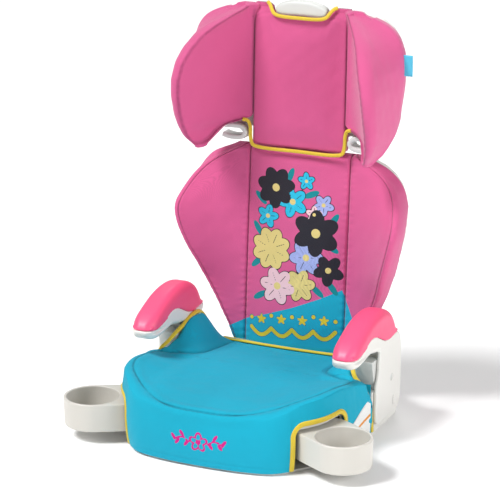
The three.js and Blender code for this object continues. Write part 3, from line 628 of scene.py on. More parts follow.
# ------------------------------------------------------------------ back cushion
BACK_WING = faired([
    # height along the back, rim x, how far the rim stands forward, roll of the rim, side x
    (6, 107, 3, 3, 113), (35, 118, 7, 4, 125), (85, 140, 15, 5, 149), (115, 154, 23, 6, 161),
    (145, 164, 37, 7, 170), (172, 175, 52, 7, 179), (202, 185, 63, 7, 186), (232, 193, 68, 7, 191),
    (250, 194, 63, 7, 193), (272, 188, 44, 7, 193), (294, 178, 25, 7, 188), (312, 163, 13, 7, 179),
    (330, 139, 6, 6, 161), (343, 112, 2, 5, 136), (356, 90, 1, 4, 105)], 7)
BLOCK_EDGE = ((-200, 78), (-121, 109), (-88, 126), (0, 158), (46, 178), (87, 198), (92, 186),
              (110, 150), (150, 84), (200, 60))


def back_section(height, values):
    """One level of the back in plan, right half, from the middle of the front round to the rear."""
    rim_x, forward, roll, side_x = values
    x = np.r_[np.linspace(0, 84, 58), 84 + 8 * np.sin(np.linspace(0, math.pi / 2, 9)[1:])]
    panel = np.stack([x, -5 * (1 - (x / PANEL) ** 2)], -1)
    even = 0.5 - 0.5 * np.cos(np.linspace(0, math.pi, 40))
    seam, rim = (PANEL, 0), (rim_x, -forward)
    face = bezier(seam, (PANEL + 0.55 * (rim_x - PANEL), -0.12 * forward), rim, even)
    edge = bezier(rim, (rim_x + roll, -forward - 0.3 * roll), (rim_x + 1.25 * roll, roll - forward),
                  np.linspace(0, 1, 12))
    side = bezier(edge[-1], (rim_x + 1.3 * roll, 0.4 * (roll - forward)), (side_x, 10),
                  np.linspace(0, 1, 14))
    rear = np.array([(side_x - 1.5, 13), (side_x - 5, 14), (0.5 * side_x, 14)])
    half = np.vstack([panel, face[1:], edge[1:], side[1:], rear])
    marks = (len(panel) - 1, len(panel) + len(face) - 2)
    closing = np.clip((height - 338) / 14, 0, 1)
    half[:, 1] = 14 - (14 - half[:, 1]) * math.sqrt(1 - closing**2 * 0.999)
    return half, marks


def back_cushion():
    heights = np.r_[np.linspace(6, 330, 188), np.linspace(331.5, 352, 20)]
    rows = []
    for height, values in zip(heights, BACK_WING(heights)):
        half, marks = back_section(height, values)
        left = half[:0:-1] * (-1, 1)
        plan = np.vstack([left, half, [(0, 14)]])
        rows.append(np.c_[plan, np.full(len(plan), height)])
    grid = np.array(rows)
    middle = len(half) - 1
    run = np.c_[np.zeros(len(grid)), np.cumsum(np.linalg.norm(np.diff(grid, axis=1), axis=2), 1)]
    panel_seams = [middle - marks[0], middle + marks[0]]
    rim_seams = [middle - marks[1], middle + marks[1]]

    def beside(columns):
        return np.min([np.abs(run - run[:, c:c + 1]) for c in columns], 0)
    to_panel, to_rim = beside(panel_seams), beside(rim_seams)
    x, high = grid[:, :, 0], grid[:, :, 2]
    front = step(high, 10, 60) * (1 - step(high, 325, 348))
    relief = -3.4 * bell(to_panel, 2.3) - 1.9 * bell(to_rim, 1.7)
    relief += 3.5 * (1 - bell(to_panel, 26)) * (1 - bell(to_rim, 22)) * front
    relief += 0.9 * ripples(x, high, 3, 120) * front + 0.35 * ripples(x, high, 5, 34)
    relief += 0.35 * np.sin(high / 2.1 + 2 * ripples(x, high, 8, 60)) * bell(to_panel - 4, 6)
    relief += 0.25 * np.sin(high / 1.9 + 2 * ripples(x, high, 9, 50)) * bell(to_rim - 4, 5)
    front_side = (run <= run[:, rim_seams[1]:rim_seams[1] + 1] + 60) & (
        run >= run[:, rim_seams[0]:rim_seams[0] + 1] - 60)
    grid = grid + normals(grid) * (relief * front_side)[:, :, None]
    lines = [leaning(grid[:, c]) for c in panel_seams + rim_seams]

    def block(where):
        edge = np.interp(where[:, 0], *zip(*BLOCK_EDGE))
        return (where[:, 2] - edge) * 0.93
    # The seam mark is where the cloth paints shade into the seam grooves between panel, wing face and
    # rim.
    marks = {"seam": near(lines, 0.8), "block": block}
    for name, shape in PRINTS.items():
        marks[name] = lambda where, shape=shape: shape(where[:, 0], upright(where)[:, 2])
    link("back_cushion", Solid().loft(list(leaning(grid))), BACK_CLOTH, "backrest",
         ["back_cover", "back_foam_center", "back_foam_left", "back_foam_right"],
         marks=marks)


# ------------------------------------------------------------------ head cushion
HEAD_WING = faired([
    # height, seam x and y, rim x and y, roll, side x and y, rear y
    (440, 142, 122, 149, 112, 5, 161, 128, 133), (449, 135, 138, 153, 102, 8, 171, 142, 148),
    (460, 129, 150, 158, 93, 10, 175, 157, 166), (470, 121, 161, 160, 88, 11, 177, 166, 180),
    (479, 84, 191, 162, 84, 12, 178, 173, 194), (500, 84, 192, 164, 77, 13, 180, 181, 204),
    (530, 84, 193, 163.5, 69, 14, 182, 185, 208.7), (560, 84, 194, 161, 66, 15, 186, 186, 208.7),
    (590, 84, 195, 154, 71, 16, 187, 187, 208.7), (612, 84, 196, 145, 86, 17, 186, 188, 208.7),
    (630, 84, 196, 135, 105, 17, 180, 188, 208.7), (640, 84, 197, 126, 121, 17, 174, 189, 208.7),
    (648, 83, 198, 117, 137, 16, 166, 190, 208.7), (656, 82, 198, 107, 153, 14, 152, 191, 208.7),
    (663, 80, 199, 97, 169, 11, 135, 193, 208.7), (670, 77, 201, 86, 186, 7, 113, 197, 208.7)], 3)
HEAD_SEAM = 85


def head_section(height):
    """One level of the right wing in plan, its rim's place and its face from seam to rim."""
    seam_x, seam_y, rim_x, rim_y, roll, side_x, side_y, rear_y = HEAD_WING(height)
    even = np.linspace(0, 1, 60)
    bulge = (seam_x + 0.55 * (rim_x - seam_x), seam_y - 0.12 * (seam_y - rim_y))
    face = bezier((seam_x, seam_y), bulge, (rim_x, rim_y), even)
    edge = bezier((rim_x, rim_y), (rim_x + roll, rim_y - 0.3 * roll),
                  (rim_x + 1.25 * roll, rim_y + roll), np.linspace(0, 1, 16))
    side = bezier(edge[-1], (rim_x + 1.3 * roll, 0.5 * (rim_y + roll + side_y)), (side_x, side_y),
                  np.linspace(0, 1, 40))
    rear = np.array([(side_x - 5, rear_y), (seam_x, rear_y)])
    loop = resample(np.vstack([face[:-1], edge[:-1], side, rear]), 170, closed=True)
    return softened(loop, 3), (rim_x, rim_y), face


def head_wing():
    """The right wing: its surface, and the lines of its seams."""
    heights = np.r_[np.linspace(440, 486, 26), np.linspace(488, 640, 80), np.linspace(642, 670, 24)]
    loops, rims, inner = [], [], []
    for height in heights:
        loop, rim, face = head_section(height)
        loops.append(np.c_[loop, np.full(len(loop), height)])
        rims.append((*rim, height))
        run = run_along(face)
        inner.append([*(np.interp(min(6.0, run[-1] / 2), run, c) for c in face.T), height])
    for end, way in ((0, -1), (-1, 1)):      # round ends beyond the first and last levels
        ring, middle = loops[end], loops[end].mean(0)
        caps = [middle + (ring - middle) * math.cos(a) + (0, 0, way * 5 * math.sin(a))
                for a in np.linspace(0.25, 1.35, 6)]
        loops = caps[::-1] + loops if end == 0 else loops + caps
    grid = np.array(loops)
    rims, inner = np.array(rims), np.array(inner)
    low, high = rims[:, 2] > 447, (inner[:, 2] > 452) & (inner[:, 2] < 478)
    first, last = rims[low][0], inner[high][0]
    lowest = (0.5 * (first[0] + last[0]), 0.5 * (first[1] + last[1]), 441)
    under = bezier(last, lowest, first, np.linspace(0, 1, 24))
    line = spline(np.vstack([inner[high][::-3], under[1:-1:3], rims[low][::4]]), 400)
    gap = distance_to(line, grid)
    x, y, z = np.moveaxis(grid, -1, 0)
    to_panel = np.hypot(x - HEAD_SEAM, y - 193)
    relief = 3.2 * (1 - bell(gap, 24)) * (1 - bell(to_panel, 30)) * step(z, 450, 490)
    relief -= 1.9 * bell(gap, 1.9)
    relief += 0.9 * ripples(y + x, z, 13, 110) + 0.3 * ripples(y + x, z, 15, 32)
    relief += 0.25 * np.sin(z / 1.9 + 2 * ripples(x, z, 19, 50)) * bell(gap - 4, 5)
    outward = normals(grid, wrap=True)
    centre = grid.mean(1, keepdims=True)
    if np.sum(outward * (grid - centre)) < 0:
        outward = -outward
    relief *= (y < 190) | (x > 130)
    return grid + outward * relief[:, :, None], line


def head_panel():
    """The middle panel, with the notch in its top edge for the handle."""
    half = np.r_[np.linspace(0, 78, 40), 78 + 7 * np.sin(np.linspace(0, math.pi / 2, 8)[1:])]
    x = np.r_[-half[:0:-1], half]
    top = np.interp(np.abs(x), (0, 42, 47, 54, 62, 85), (656, 657, 661, 670, 674, 674))
    bottom = 433 + 7 * (1 - np.sqrt(1 - np.clip((np.abs(x) - 78) / 7, 0, 0.999) ** 2))
    t = 0.5 - 0.5 * np.cos(np.linspace(0, math.pi, 90))
    z = bottom + (top - bottom) * t[:, None]
    wide = np.broadcast_to(x, z.shape)
    rim = np.minimum(np.minimum(z - bottom, top - z), HEAD_SEAM - np.abs(wide))
    edge = 5 - np.sqrt(np.maximum(0, 25 - (5 - np.minimum(rim, 5)) ** 2))
    puff = 4.5 * (1 - (wide / HEAD_SEAM) ** 2) * step(rim, 0, 45)
    roll = 12 * step(z, 652, 678) * step(np.abs(wide), 40, 56)
    to_border = np.hypot(z - np.interp(np.abs(wide), (50, 66, 85), (661, 657.5, 651)),
                         np.maximum(0, 50 - np.abs(wide)))
    y = 190.5 + (z - 430) * 0.0365 + edge - puff + roll + 1.6 * bell(to_border, 1.8)
    y = y + 0.8 * ripples(wide, z, 23, 110) * step(rim, 0, 20) + 0.3 * ripples(wide, z, 25, 30)
    face = np.stack([wide, y, z], -1)
    rear = face.copy()
    rear[:, :, 1] = 207
    return np.concatenate([face, rear[::-1]], 0)


def head_cushion():
    wing, line = head_wing()
    panel = head_panel()
    whole = Solid().grid(panel)
    rows = len(panel) // 2
    for column in (0, -1):                   # the panel's two side walls
        wall = np.stack([panel[:rows, column], panel[rows:, column][::-1]], 1)
        whole.grid(wall)
    whole.grid(np.stack([panel[0], panel[-1]], 0))
    whole.loft(list(wing)).loft(list(mirrored(wing)))
    heights = np.linspace(479, 662, 140)
    panel_line = np.array([(HEAD_SEAM, 194.5 + (z - 480) * 0.03, z) for z in heights])
    border = spline([(85, 196, 651), (66, 196, 657.5), (50, 196, 661)], 40)
    widths = ((line, 2.6), (panel_line, 3.2), (border, 1.6))
    # The seam mark is where the cloth paints shade into the seam grooves of the wings, beside the panel
    # and along its top border.
    marks = {"seam": lambda where: np.maximum.reduce([
        near([path, mirrored(path)], width)(where) for path, width in widths])}
    link("head_cushion", whole, PINK_CLOTH, "head_support",
         ["head_cover", "head_foam_center", "head_foam_left", "head_foam_right"],
         marks=marks)


TAPE_STITCH = (3.0, 2.0, 0.3)    # pitch, length and radius of the thread on the binding tapes


def head_trim():
    """Binding round the panel's lower edge and its notch, and the folded tag on the right."""
    paths = {
        "head_edging_bottom": ("head_binding_bottom", [
            (0, 185.5, 430), (70, 186.4, 430.4), (82, 186.6, 434), (86, 187, 446),
            (87, 187.5, 465), (91, 186.5, 474), (99, 183, 476.5)], 130),
        "head_edging_top": ("head_binding_top", [
            (0, 193.5, 655.5), (40, 194.5, 657), (48, 196, 660.5), (54.5, 200, 669.5),
            (59, 204, 674), (63, 207, 675.5)], 90)}
    for name, (stands_for, half, count) in paths.items():
        path = spline([(-x, y, z) for x, y, z in half[:0:-1]] + half, count)
        looks = np.broadcast_to((0.0, -1.0, 0.05), path.shape)
        band = ribbon(path, looks, 6.2, 5.0, 14, 0.8)
        sewn = path + (0, -2.35, 0) + unit(path.mean(0) - path) * (1.5, 0, 1.5)
        band.add(stitches(sewn, looks, *TAPE_STITCH))
        link(name, band, TAPE, "head_support", [stands_for])
    root, low, high = 184, 577, 612
    plan = [(root, 187.2), (203, 187.2), (204.6, 187.6), (203, 188.1), (root, 188.1)]
    tag = resample(np.array(plan), 40)
    grid, edge = [], []
    for z in np.linspace(low, high, 12):
        wave = 0.5 * math.sin((z - low) / 9)
        moved = tag[:, 1] + wave * (tag[:, 0] - root) / 20
        grid.append(np.stack([tag[:, 0], moved, np.full(len(tag), z)], -1))
        edge.append((203.4, 186.9 + wave, z))
    looks = np.broadcast_to((0.0, -1, 0), (len(edge), 3))
    solid = Solid().loft(grid).add(stitches(np.array(edge), looks, 2.6, 1.8, 0.25))
    link("side_tag", solid, TAG_CLOTH, "head_support", ["head_tag"])


# ------------------------------------------------------------------ seat cushion
SKIRT = spline([(-80, -192), (0, -197), (80, -192), (121, -180), (152, -148), (176, -110), (186, -60),
                (190, 0), (197, 48)], 620)
SKIRT = np.vstack([(0.0, -197.0), SKIRT[SKIRT[:, 0] > 0.5]])
SKIRT_RUN = run_along(SKIRT)
HEM = 4                         # height of the skirt's lower edge
EDGE_DROP = 3.5                 # how far the cushion's rounded edge lies below its upper face
SEAT_UNDERSIDE = 75.3           # height of the cushion's lower edge behind the skirt
ARCH_HALF, ARCH_TOP, ARCH_CORNER, ARCH_MIDDLE = 60, 85, 24, 40
CUP_AT = np.array((222.0, -136.0))
OUTWARD = np.array((0.8712, -0.4909))
ACROSS = np.array((0.4909, 0.8712))
SKIRT_ACROSS = (SKIRT - CUP_AT) @ ACROSS


def seat_height(x, y):
    """Upper face of the padding: raised front corners, a fall to the rear, and bolsters at the
    hips beside the arms."""
    side = np.abs(x)
    corner = 15 * step(side, 60, 178) * (1 - step(y, -80, 40)) * step(y, -215, -140)
    edge = 6 * step(side, 110, 180) * (1 - step(y, -20, 60))
    fall = 14 * step(y, 20, 176)
    crest = 57 * step(y, 0, 100) * (1 - step(y, 122, 186))
    crest = crest * step(side, 108, 152) * (1 - step(side, 164, 188))
    return 95 + FABRIC + corner + edge - fall + crest


def swept(x, y, z):
    """The y that a point of the flap moves to: its rear edge sweeps forward round the socket."""
    return y - 25 * step(z, 52, 98) * step(y, -30, 48) * step(np.abs(x), 158, 174)


def skirt_at(run):
    """Plan of the skirt at a length along it from the middle of the front."""
    return np.stack([np.interp(run, SKIRT_RUN, c) for c in SKIRT.T], -1)


def skirt_outward(run):
    """The way the skirt faces; straight ahead at the middle, where its two halves meet."""
    ahead = unit(skirt_at(run + 1.5) - skirt_at(run - 1.5))
    looks = np.stack([ahead[..., 1], -ahead[..., 0]], -1)
    looks[..., 0] *= step(run, 0, 12)
    return looks


def level(plan):
    """Plan directions as directions in space."""
    return np.c_[plan, np.zeros(len(plan))]


def skirt_bulge(run, z, top):
    """How far the skirt stands out between its hem and the seat's edge."""
    fade = 1 - 0.85 * step(run, SKIRT_RUN[-1] - 70, SKIRT_RUN[-1])
    return 5.5 * fade * np.sin(math.pi * np.clip((z - HEM) / (top - HEM), 0, 1)) ** 0.75


def arch_height(across):
    """Height of the cup holder's arch at a distance from its middle; the hem beside it."""
    over = np.clip(np.abs(across) - (ARCH_HALF - ARCH_CORNER), 0, ARCH_CORNER)
    arch = ARCH_TOP - ARCH_CORNER + np.sqrt(ARCH_CORNER**2 - over**2)
    return np.where(np.abs(across) <= ARCH_HALF, arch, HEM)


def seat_outline():
    """Plan of the cushion, right half: run along the skirt (or -1 behind it), x, y, spine y."""
    corner = ARCH_HALF - ARCH_CORNER + ARCH_CORNER * np.sin(np.linspace(0, math.pi / 2, 12))
    special = np.r_[corner, -corner, ARCH_HALF + 0.04, -ARCH_HALF - 0.04]
    runs = np.unique(np.round(np.r_[np.linspace(0, SKIRT_RUN[-1], 270),
                                    np.interp(special, SKIRT_ACROSS, SKIRT_RUN)], 3))
    front = skirt_at(runs)
    beside_arm = np.array([(158, 47), (156.5, 75), (154, 100), (153, 140), (152.5, 158)])
    rest = np.vstack([resample(np.array([(197, 48), (158, 47)]), 22)[1:],
                      resample(beside_arm, 60)[1:],
                      bezier((152.5, 158), (152.5, 167), (143, 167), np.linspace(0, 1, 8))[1:],
                      resample(np.array([(143, 167), (0, 167)]), 60)[1:]])
    plan = np.vstack([front, rest])
    spine = np.r_[np.linspace(-60, 20, len(front)), np.linspace(20, 28, 21),
                  np.linspace(28, 100, 66), np.linspace(100, 106, 59)]
    runs = np.r_[runs, np.full(len(rest), -1)]
    return runs, plan, spine


def seat_cushion():
    runs, plan, spine = seat_outline()
    on_skirt = runs >= 0
    x, y = plan.T
    edge_y = swept(x, y, 200)
    drop = np.where(on_skirt, EDGE_DROP, 5)
    edge_z = seat_height(x, edge_y) - drop
    across = (plan - CUP_AT) @ ACROSS
    hem = np.where(on_skirt, arch_height(across), SEAT_UNDERSIDE)
    outward = np.where(on_skirt[:, None], skirt_outward(np.maximum(runs, 0)), 0)
    t = 0.5 - 0.5 * np.cos(np.linspace(0, math.pi, 52))[:, None]
    z = hem + (edge_z - hem) * t
    out = skirt_bulge(runs, z, edge_z) * on_skirt
    uneven = 0.9 * ripples(runs, z, 31, 110) + 0.3 * ripples(runs, z, 33, 30)
    out = out + on_skirt * uneven * step(t, 0, 0.3) * step(runs, 0, 45)
    out = out - 0.7 * bell(z - HEM - 9, 1.2) * on_skirt
    wall = np.stack([x + outward[:, 0] * out, swept(x, y, z) + outward[:, 1] * out, z], -1)
    inside = [np.stack([x - 3 * outward[:, 0], y - 3 * outward[:, 1], hem + lift], -1)
              for lift in (14, 1.5)]
    under = np.stack([x - 1.5 * outward[:, 0], y - 1.5 * outward[:, 1], hem - 0.6], -1)
    w = np.linspace(0, 1, 66)[1:, None] ** 1.7
    top_x, top_y = x * (1 - w), edge_y * (1 - w) + spine * w
    reach = w * np.hypot(x, edge_y - spine)
    height = seat_height(top_x, top_y)
    height -= drop * (1 - np.clip(reach / np.where(on_skirt, 11, 8), 0, 1)) ** 2
    flat = 1 - step(np.abs(top_x), 100, 130)
    height += 3.5 * step(reach, 8, 70) * flat
    uneven = 1.1 * ripples(top_x, top_y, 41, 120) + 0.3 * ripples(top_x, top_y, 43, 32)
    height += step(reach, 5, 40) * uneven * step(top_x, 0, 45)
    top = np.stack([top_x, top_y, height], -1)
    grid = np.concatenate([inside, [under], wall, top])

    line = spline([(0, -195.5), (40, -193.5), (75, -184), (107, -163), (138, -137), (160, -111),
                   (172, -84), (178, -50), (180, -12), (176, 16), (170, 32)], 300)
    line = np.c_[line, seat_height(*line.T) - 1.5]
    foot = spline([(178, 8, 0), (148, 17, 0), (128, 30, 0), (114, 54, 0), (110, 90, 0), (109, 125, 0),
                   (108, 160, 0)], 140)
    foot[:, 2] = seat_height(*foot[:, :2].T)
    for path, deep, width in ((line, 1.8, 1.8), (foot, 2.2, 3.2)):
        gap = distance_to(path, grid)
        puff = 1.2 * bell(gap - 9, 7) + 0.22 * np.sin(grid[:, :, 0] / 1.8) * bell(gap - 4, 4)
        up = normals(grid)
        up *= np.where(up[:, :, 2:] < -0.2, -1, 1)
        up[:, (0, -1), 0] = 0
        grid = grid + up * ((puff - deep * bell(gap, width)) * (gap < 26))[:, :, None]

    # The seam mark is where the cloth paints shade into the grooves of the top seam and, fainter, of the
    # bolster's foot.
    def seam(where):
        return np.maximum(near([line, mirrored(line)], 1.9)(where),
                          0.6 * near([foot, mirrored(foot)], 2.4)(where))

    def motif(where):
        return np.where(where[:, 1] < -170, front_motif(where[:, 0], where[:, 2]), 9.0)
    solid = Solid().grid(grid).grid(mirrored(grid[:, ::-1]))
    link("seat_cushion", solid, SEAT_CLOTH, "base", ["seat_cover", "seat_foam"],
         marks={"seam": seam, "motif": motif})


def front_motif(x, z):
    """Two sprigs of leaves beside a flower, embroidered on the front of the skirt."""
    middle = 2
    shapes = [np.abs(flower(x, z, middle, 46, 15, 5, 0.3)) - 1.3, disc(x, z, middle, 46, 4.2)]
    for side in (-1, 1):
        def stem(t):
            return middle + side * (16 + 27 * t), 44 + 7 * math.sin(3 * t)
        shapes.append(stroke(x, z, [stem(t) for t in np.linspace(0, 1, 12)], 1.3))
        for way, t in ((-1, 0.2), (1, 0.5), (-1, 0.8), (1, 1.05)):
            foot_x, foot_z = stem(t)
            shapes.append(oval(x, z, foot_x, foot_z + way * 6.2, 6.2, 2.7, side * way * 0.9))
    return np.minimum.reduce(shapes)


def seat_trim():
    """Binding tapes of the seat, and its care label."""
    for side, sign in SIDES:
        # binding round the arch that the cup holder slides through
        quarter = np.linspace(0, math.pi / 2, 14)
        half, top, corner = ARCH_HALF - 2.5, ARCH_TOP - 2.5, ARCH_CORNER - 2.5
        right = [(half, z) for z in np.linspace(HEM + 1, top - corner, 22)[:-1]]
        right += [(half - corner + corner * math.cos(a), top - corner + corner * math.sin(a))
                  for a in quarter]
        arch = resample(np.array([(-u, z) for u, z in right] + right[::-1]), 150)
        run = np.interp(arch[:, 0], SKIRT_ACROSS, SKIRT_RUN)
        spots, looks = skirt_at(run), skirt_outward(run)
        rim = seat_height(*spots.T) - EDGE_DROP
        spots = spots + looks * (skirt_bulge(run, arch[:, 1], rim) - 0.2)[:, None]
        path = np.c_[spots, arch[:, 1]]
        looks = level(looks)
        band = ribbon(path, looks, 8.6, 3.6, 16, 0.7)
        away = unit(np.c_[arch[:, :1] * ACROSS, arch[:, 1:] - ARCH_MIDDLE])
        band.add(stitches(path + away * 2.6 + looks * 1.65, looks, *TAPE_STITCH))
        link(f"arch_edging_{side}", band, TAPE, "base",
             [f"arch_binding_{side}"], sign)

        # binding up the flap's rear edge and over the hip bolster's crest
        path = spline([(197.5, 49.5, 7), (196.3, 49, 30), (194.6, 47, 56), (191, 38, 78), (185, 28, 95),
                       (177, 24, 107), (169, 33, 116), (162, 50, 128), (157.5, 70, 136.5),
                       (153.8, 90, 145.5), (152.6, 112, 148), (152.6, 132, 141), (152.6, 152, 122)], 190)
        looks = spline([(1, 0, 0), (1, -0.03, 0), (1, -0.05, 0.05), (0.9, -0.25, 0.3), (0.75, -0.4, 0.5),
                        (0.3, -0.5, 0.8), (0.1, -0.5, 0.85), (-0.1, -0.5, 0.85), (-0.3, -0.4, 0.8),
                        (-0.5, -0.1, 0.85), (-0.5, 0.2, 0.85), (-0.5, 0.4, 0.75), (-0.5, 0.6, 0.6)], 190)
        looks = unit(looks)
        band = ribbon(path, looks, 7.4, 4.6, 16, 0.8)
        aside = np.cross(unit(np.gradient(path, axis=0)), looks)
        band.add(stitches(path + looks * 2.1 + aside * 1.9, looks, *TAPE_STITCH))
        link(f"crest_edging_{side}", band, TAPE, "base",
             [f"edge_binding_{side}"], sign)

    across = np.linspace(-128, 128, 120)
    path = np.array([(x, 167.5, 86.5 - 1.2 * math.cos(x / 60)) for x in across])
    looks = np.broadcast_to((0.0, -0.55, 0.8), path.shape)
    band = ribbon(path, looks, 6.2, 4.4, 14, 0.8)
    band.add(stitches(path + (0, -1.9, 0.9), looks, *TAPE_STITCH))
    link("seat_rear_edging", band, TAPE, "base", ["seat_binding_rear"])
    side_label()


def side_label():
    """Blank care label sewn behind the right arch, with one plain coloured band."""
    run = np.linspace(np.interp(ARCH_HALF + 7, SKIRT_ACROSS, SKIRT_RUN), SKIRT_RUN[-1] - 6, 30)
    spots, looks = skirt_at(run), skirt_outward(run)
    ends = (-30, 42)
    top = np.interp(spots[:, 1], ends, (44, 70))
    rim = seat_height(*spots.T) - EDGE_DROP
    rows = []
    for t in np.linspace(0, 1, 24):
        z = 10 + (top - 10) * t
        out = skirt_bulge(run, z, rim) + 0.9
        rows.append(np.c_[spots + looks * out[:, None], z])
    face, looks = np.array(rows), level(looks)
    solid = Solid().grid(np.concatenate([face, (face - looks * 0.8)[::-1]]))
    solid.add(stitches(face[-2] + looks * 0.2, looks, 2.6, 1.7, 0.22))

    def band(where):
        return np.abs(where[:, 2] - np.interp(where[:, 1], ends, (26, 40))) - 2.6
    link("care_label", solid, LABEL_CLOTH, "base", ["side_label_right"],
         marks={"band": band})


# ------------------------------------------------------------------ armrests
ARM_LOW, ARM_HIGH = 157, 203     # inner and outer face of an armrest
BUTTON_Y, BUTTON_Z = 121, 81
ARM_OUTLINE = counterclockwise(spline([
    (152.5, 146), (146, 168), (128, 192), (98, 205), (66, 207), (34, 202), (2, 191), (-26, 178),
    (-42, 165), (-46, 153), (-38, 142.5), (-18, 140.5), (5, 143), (30, 146), (60, 141), (100, 136.5),
    (145, 135)], 220, closed=True))
ARM_SPLIT = spline([(-60, 158), (-40, 157), (-20, 158), (-2, 163), (15, 170), (32, 174), (50, 172),
                    (70, 163), (92, 153), (110, 149), (130, 151), (170, 156)], 200)


def round_nose(solid):
    """Narrows the front end of an arm in plan, so that its tip is round."""
    for points in solid.points:
        ahead = np.clip((-18 - points[:, 1]) / 29, 0, 1)
        points[:, 0] = 180 + (points[:, 0] - 180) * np.sqrt(1 - 0.8 * ahead**2)
    return solid


def arm_halves():
    """Outlines of the pad above the dividing line and of the body below it, each with a mark
    of the points that lie on the line."""
    above = ARM_OUTLINE[:, 1] > np.interp(ARM_OUTLINE[:, 0], *ARM_SPLIT.T)
    first = np.argmax(above & ~np.roll(above, 1))
    turned, above = np.roll(ARM_OUTLINE, -first, 0), np.roll(above, -first)
    pad, body = turned[above], turned[~above]
    rear, nose = pad[0, 0], pad[-1, 0]
    joint = np.linspace(nose, rear, 120)[1:-1]
    split = np.c_[joint, np.interp(joint, *ARM_SPLIT.T)]
    pad_outline = np.vstack([pad, split + (0, 0.3)])
    body_outline = np.vstack([body, split[::-1]])
    return (pad_outline, len(pad)), (body_outline, len(body))


def edge_radius(outline, outer, full, least=0.8, run=10):
    """Edge radius that fades to the least one along the dividing line."""
    spread = np.r_[np.ones(outer), np.zeros(len(outline) - outer)] * full
    kernel = np.ones(run) / run
    ringed = np.r_[spread[-run:], spread, spread[:run]]
    soft = np.convolve(ringed, kernel, "same")[run:-run]
    return np.maximum(least, np.minimum(soft, full))


def arms():
    """Armrests: a soft cap on a frame with its leg, and the button in the leg."""
    (pad, pad_outer), (body, body_outer) = arm_halves()
    for side, sign in SIDES:
        radius = edge_radius(pad, pad_outer, 16)
        solid = round_nose(moulded(pad, ARM_LOW, ARM_HIGH, radius, along_x, 2, 9))
        obj = link(f"arm_cap_{side}", solid, SOFT_TOUCH, f"arm_{side}",
                   [f"arm_pad_{side}"], sign)
        fuse(obj, 1.5, 4)

        radius = edge_radius(body, body_outer, 9)
        solid = round_nose(moulded(body, ARM_LOW, ARM_HIGH, radius, along_x, 2, 7))
        slab = spline([(54, 34), (58, 18), (72, 14.5), (110, 14), (144, 14.5), (158, 25), (163, 50),
                       (164, 100), (162, 134), (154, 150), (110, 152), (74, 150), (68, 128), (66, 112),
                       (63, 98), (55.5, 84), (54.5, 60)], 150, closed=True)
        solid.add(moulded(slab, 196.6, ARM_HIGH, 2.2, along_x, 1, 4))
        solid.add(moulded(box_outline(171, 192, 84, 146, 60), 45, 146, 1.2, along_z, 0, 3))
        solid.add(moulded(box_outline(84, 146, 77, 145, 60), 190, 199, 0.8, along_x, 0, 2))
        obj = link(f"arm_frame_{side}", solid, WHITE_PLASTIC, f"arm_{side}",
                   [f"arm_body_{side}"], sign)
        fuse(obj, 1.3, 6)
        drill(obj, (sign * 193, BUTTON_Y, BUTTON_Z), 6.4, 12)
        drill(obj, (sign * 204, 131, 37), 5.0, 1.2, 1.9)
        button(side, sign)


def ring_along_x(x, y, z, radius, count, tall=1.0):
    """A round or tall oval ring that looks along X."""
    angle = np.linspace(0, 2 * math.pi, count, endpoint=False)
    return np.c_[np.full(count, x), y + radius * np.cos(angle), z + tall * radius * np.sin(angle)]


def drill(obj, place, radius, deep, tall=1.0):
    """Cuts a round pocket along X, centred on the place."""
    x, y, z = place
    cut(obj, Solid().loft([ring_along_x(x + w, y, z, radius, 48, tall) for w in (-deep, deep)]))


def button(side, sign):
    """The round button that lets the armrest go, with a dished face."""
    profile = [(190, 5.0), (190.4, 5.7), (201.2, 5.8), (201.9, 5.4), (202.3, 4.6), (201.7, 2.6),
               (201.5, 0.6)]
    solid = Solid().loft([ring_along_x(x, BUTTON_Y, BUTTON_Z, r, 40) for x, r in profile])
    link(f"arm_catch_{side}", solid, GREY_PLASTIC, f"arm_button_{side}",
         [f"arm_button_{side}"], sign)


def sockets():
    """Grey sockets that the armrests' legs stand in."""
    outline = [(64, 75.6), (155.5, 75.6), (156, 126), (50.5, 126), (52.5, 114)]
    outline = resample(np.array(outline), 130, closed=True)
    for side, sign in SIDES:
        obj = link(f"leg_socket_{side}", moulded(outline, 160, 196.2, 1.6, along_x, 1, 4),
                   GREY_PLASTIC, "base", [f"arm_socket_{side}"], sign)
        well = moulded(box_outline(167, 202, 82, 148, 40), 70, 132, 0.4, along_z, 0, 1)
        cut(obj, well, sign, ("BEVEL", {"width": 0.8 * MM, "segments": 2, "limit_method": "ANGLE",
                                        "angle_limit": math.radians(50)}))


# ------------------------------------------------------------------ cup holders
# radius outside and of the well, height of the bottom and of the rim, reach to the back
CUP_R, CUP_WELL, CUP_LOW, CUP_HIGH, CUP_BACK = 48.5, 43.5, 21, 68.5, 80


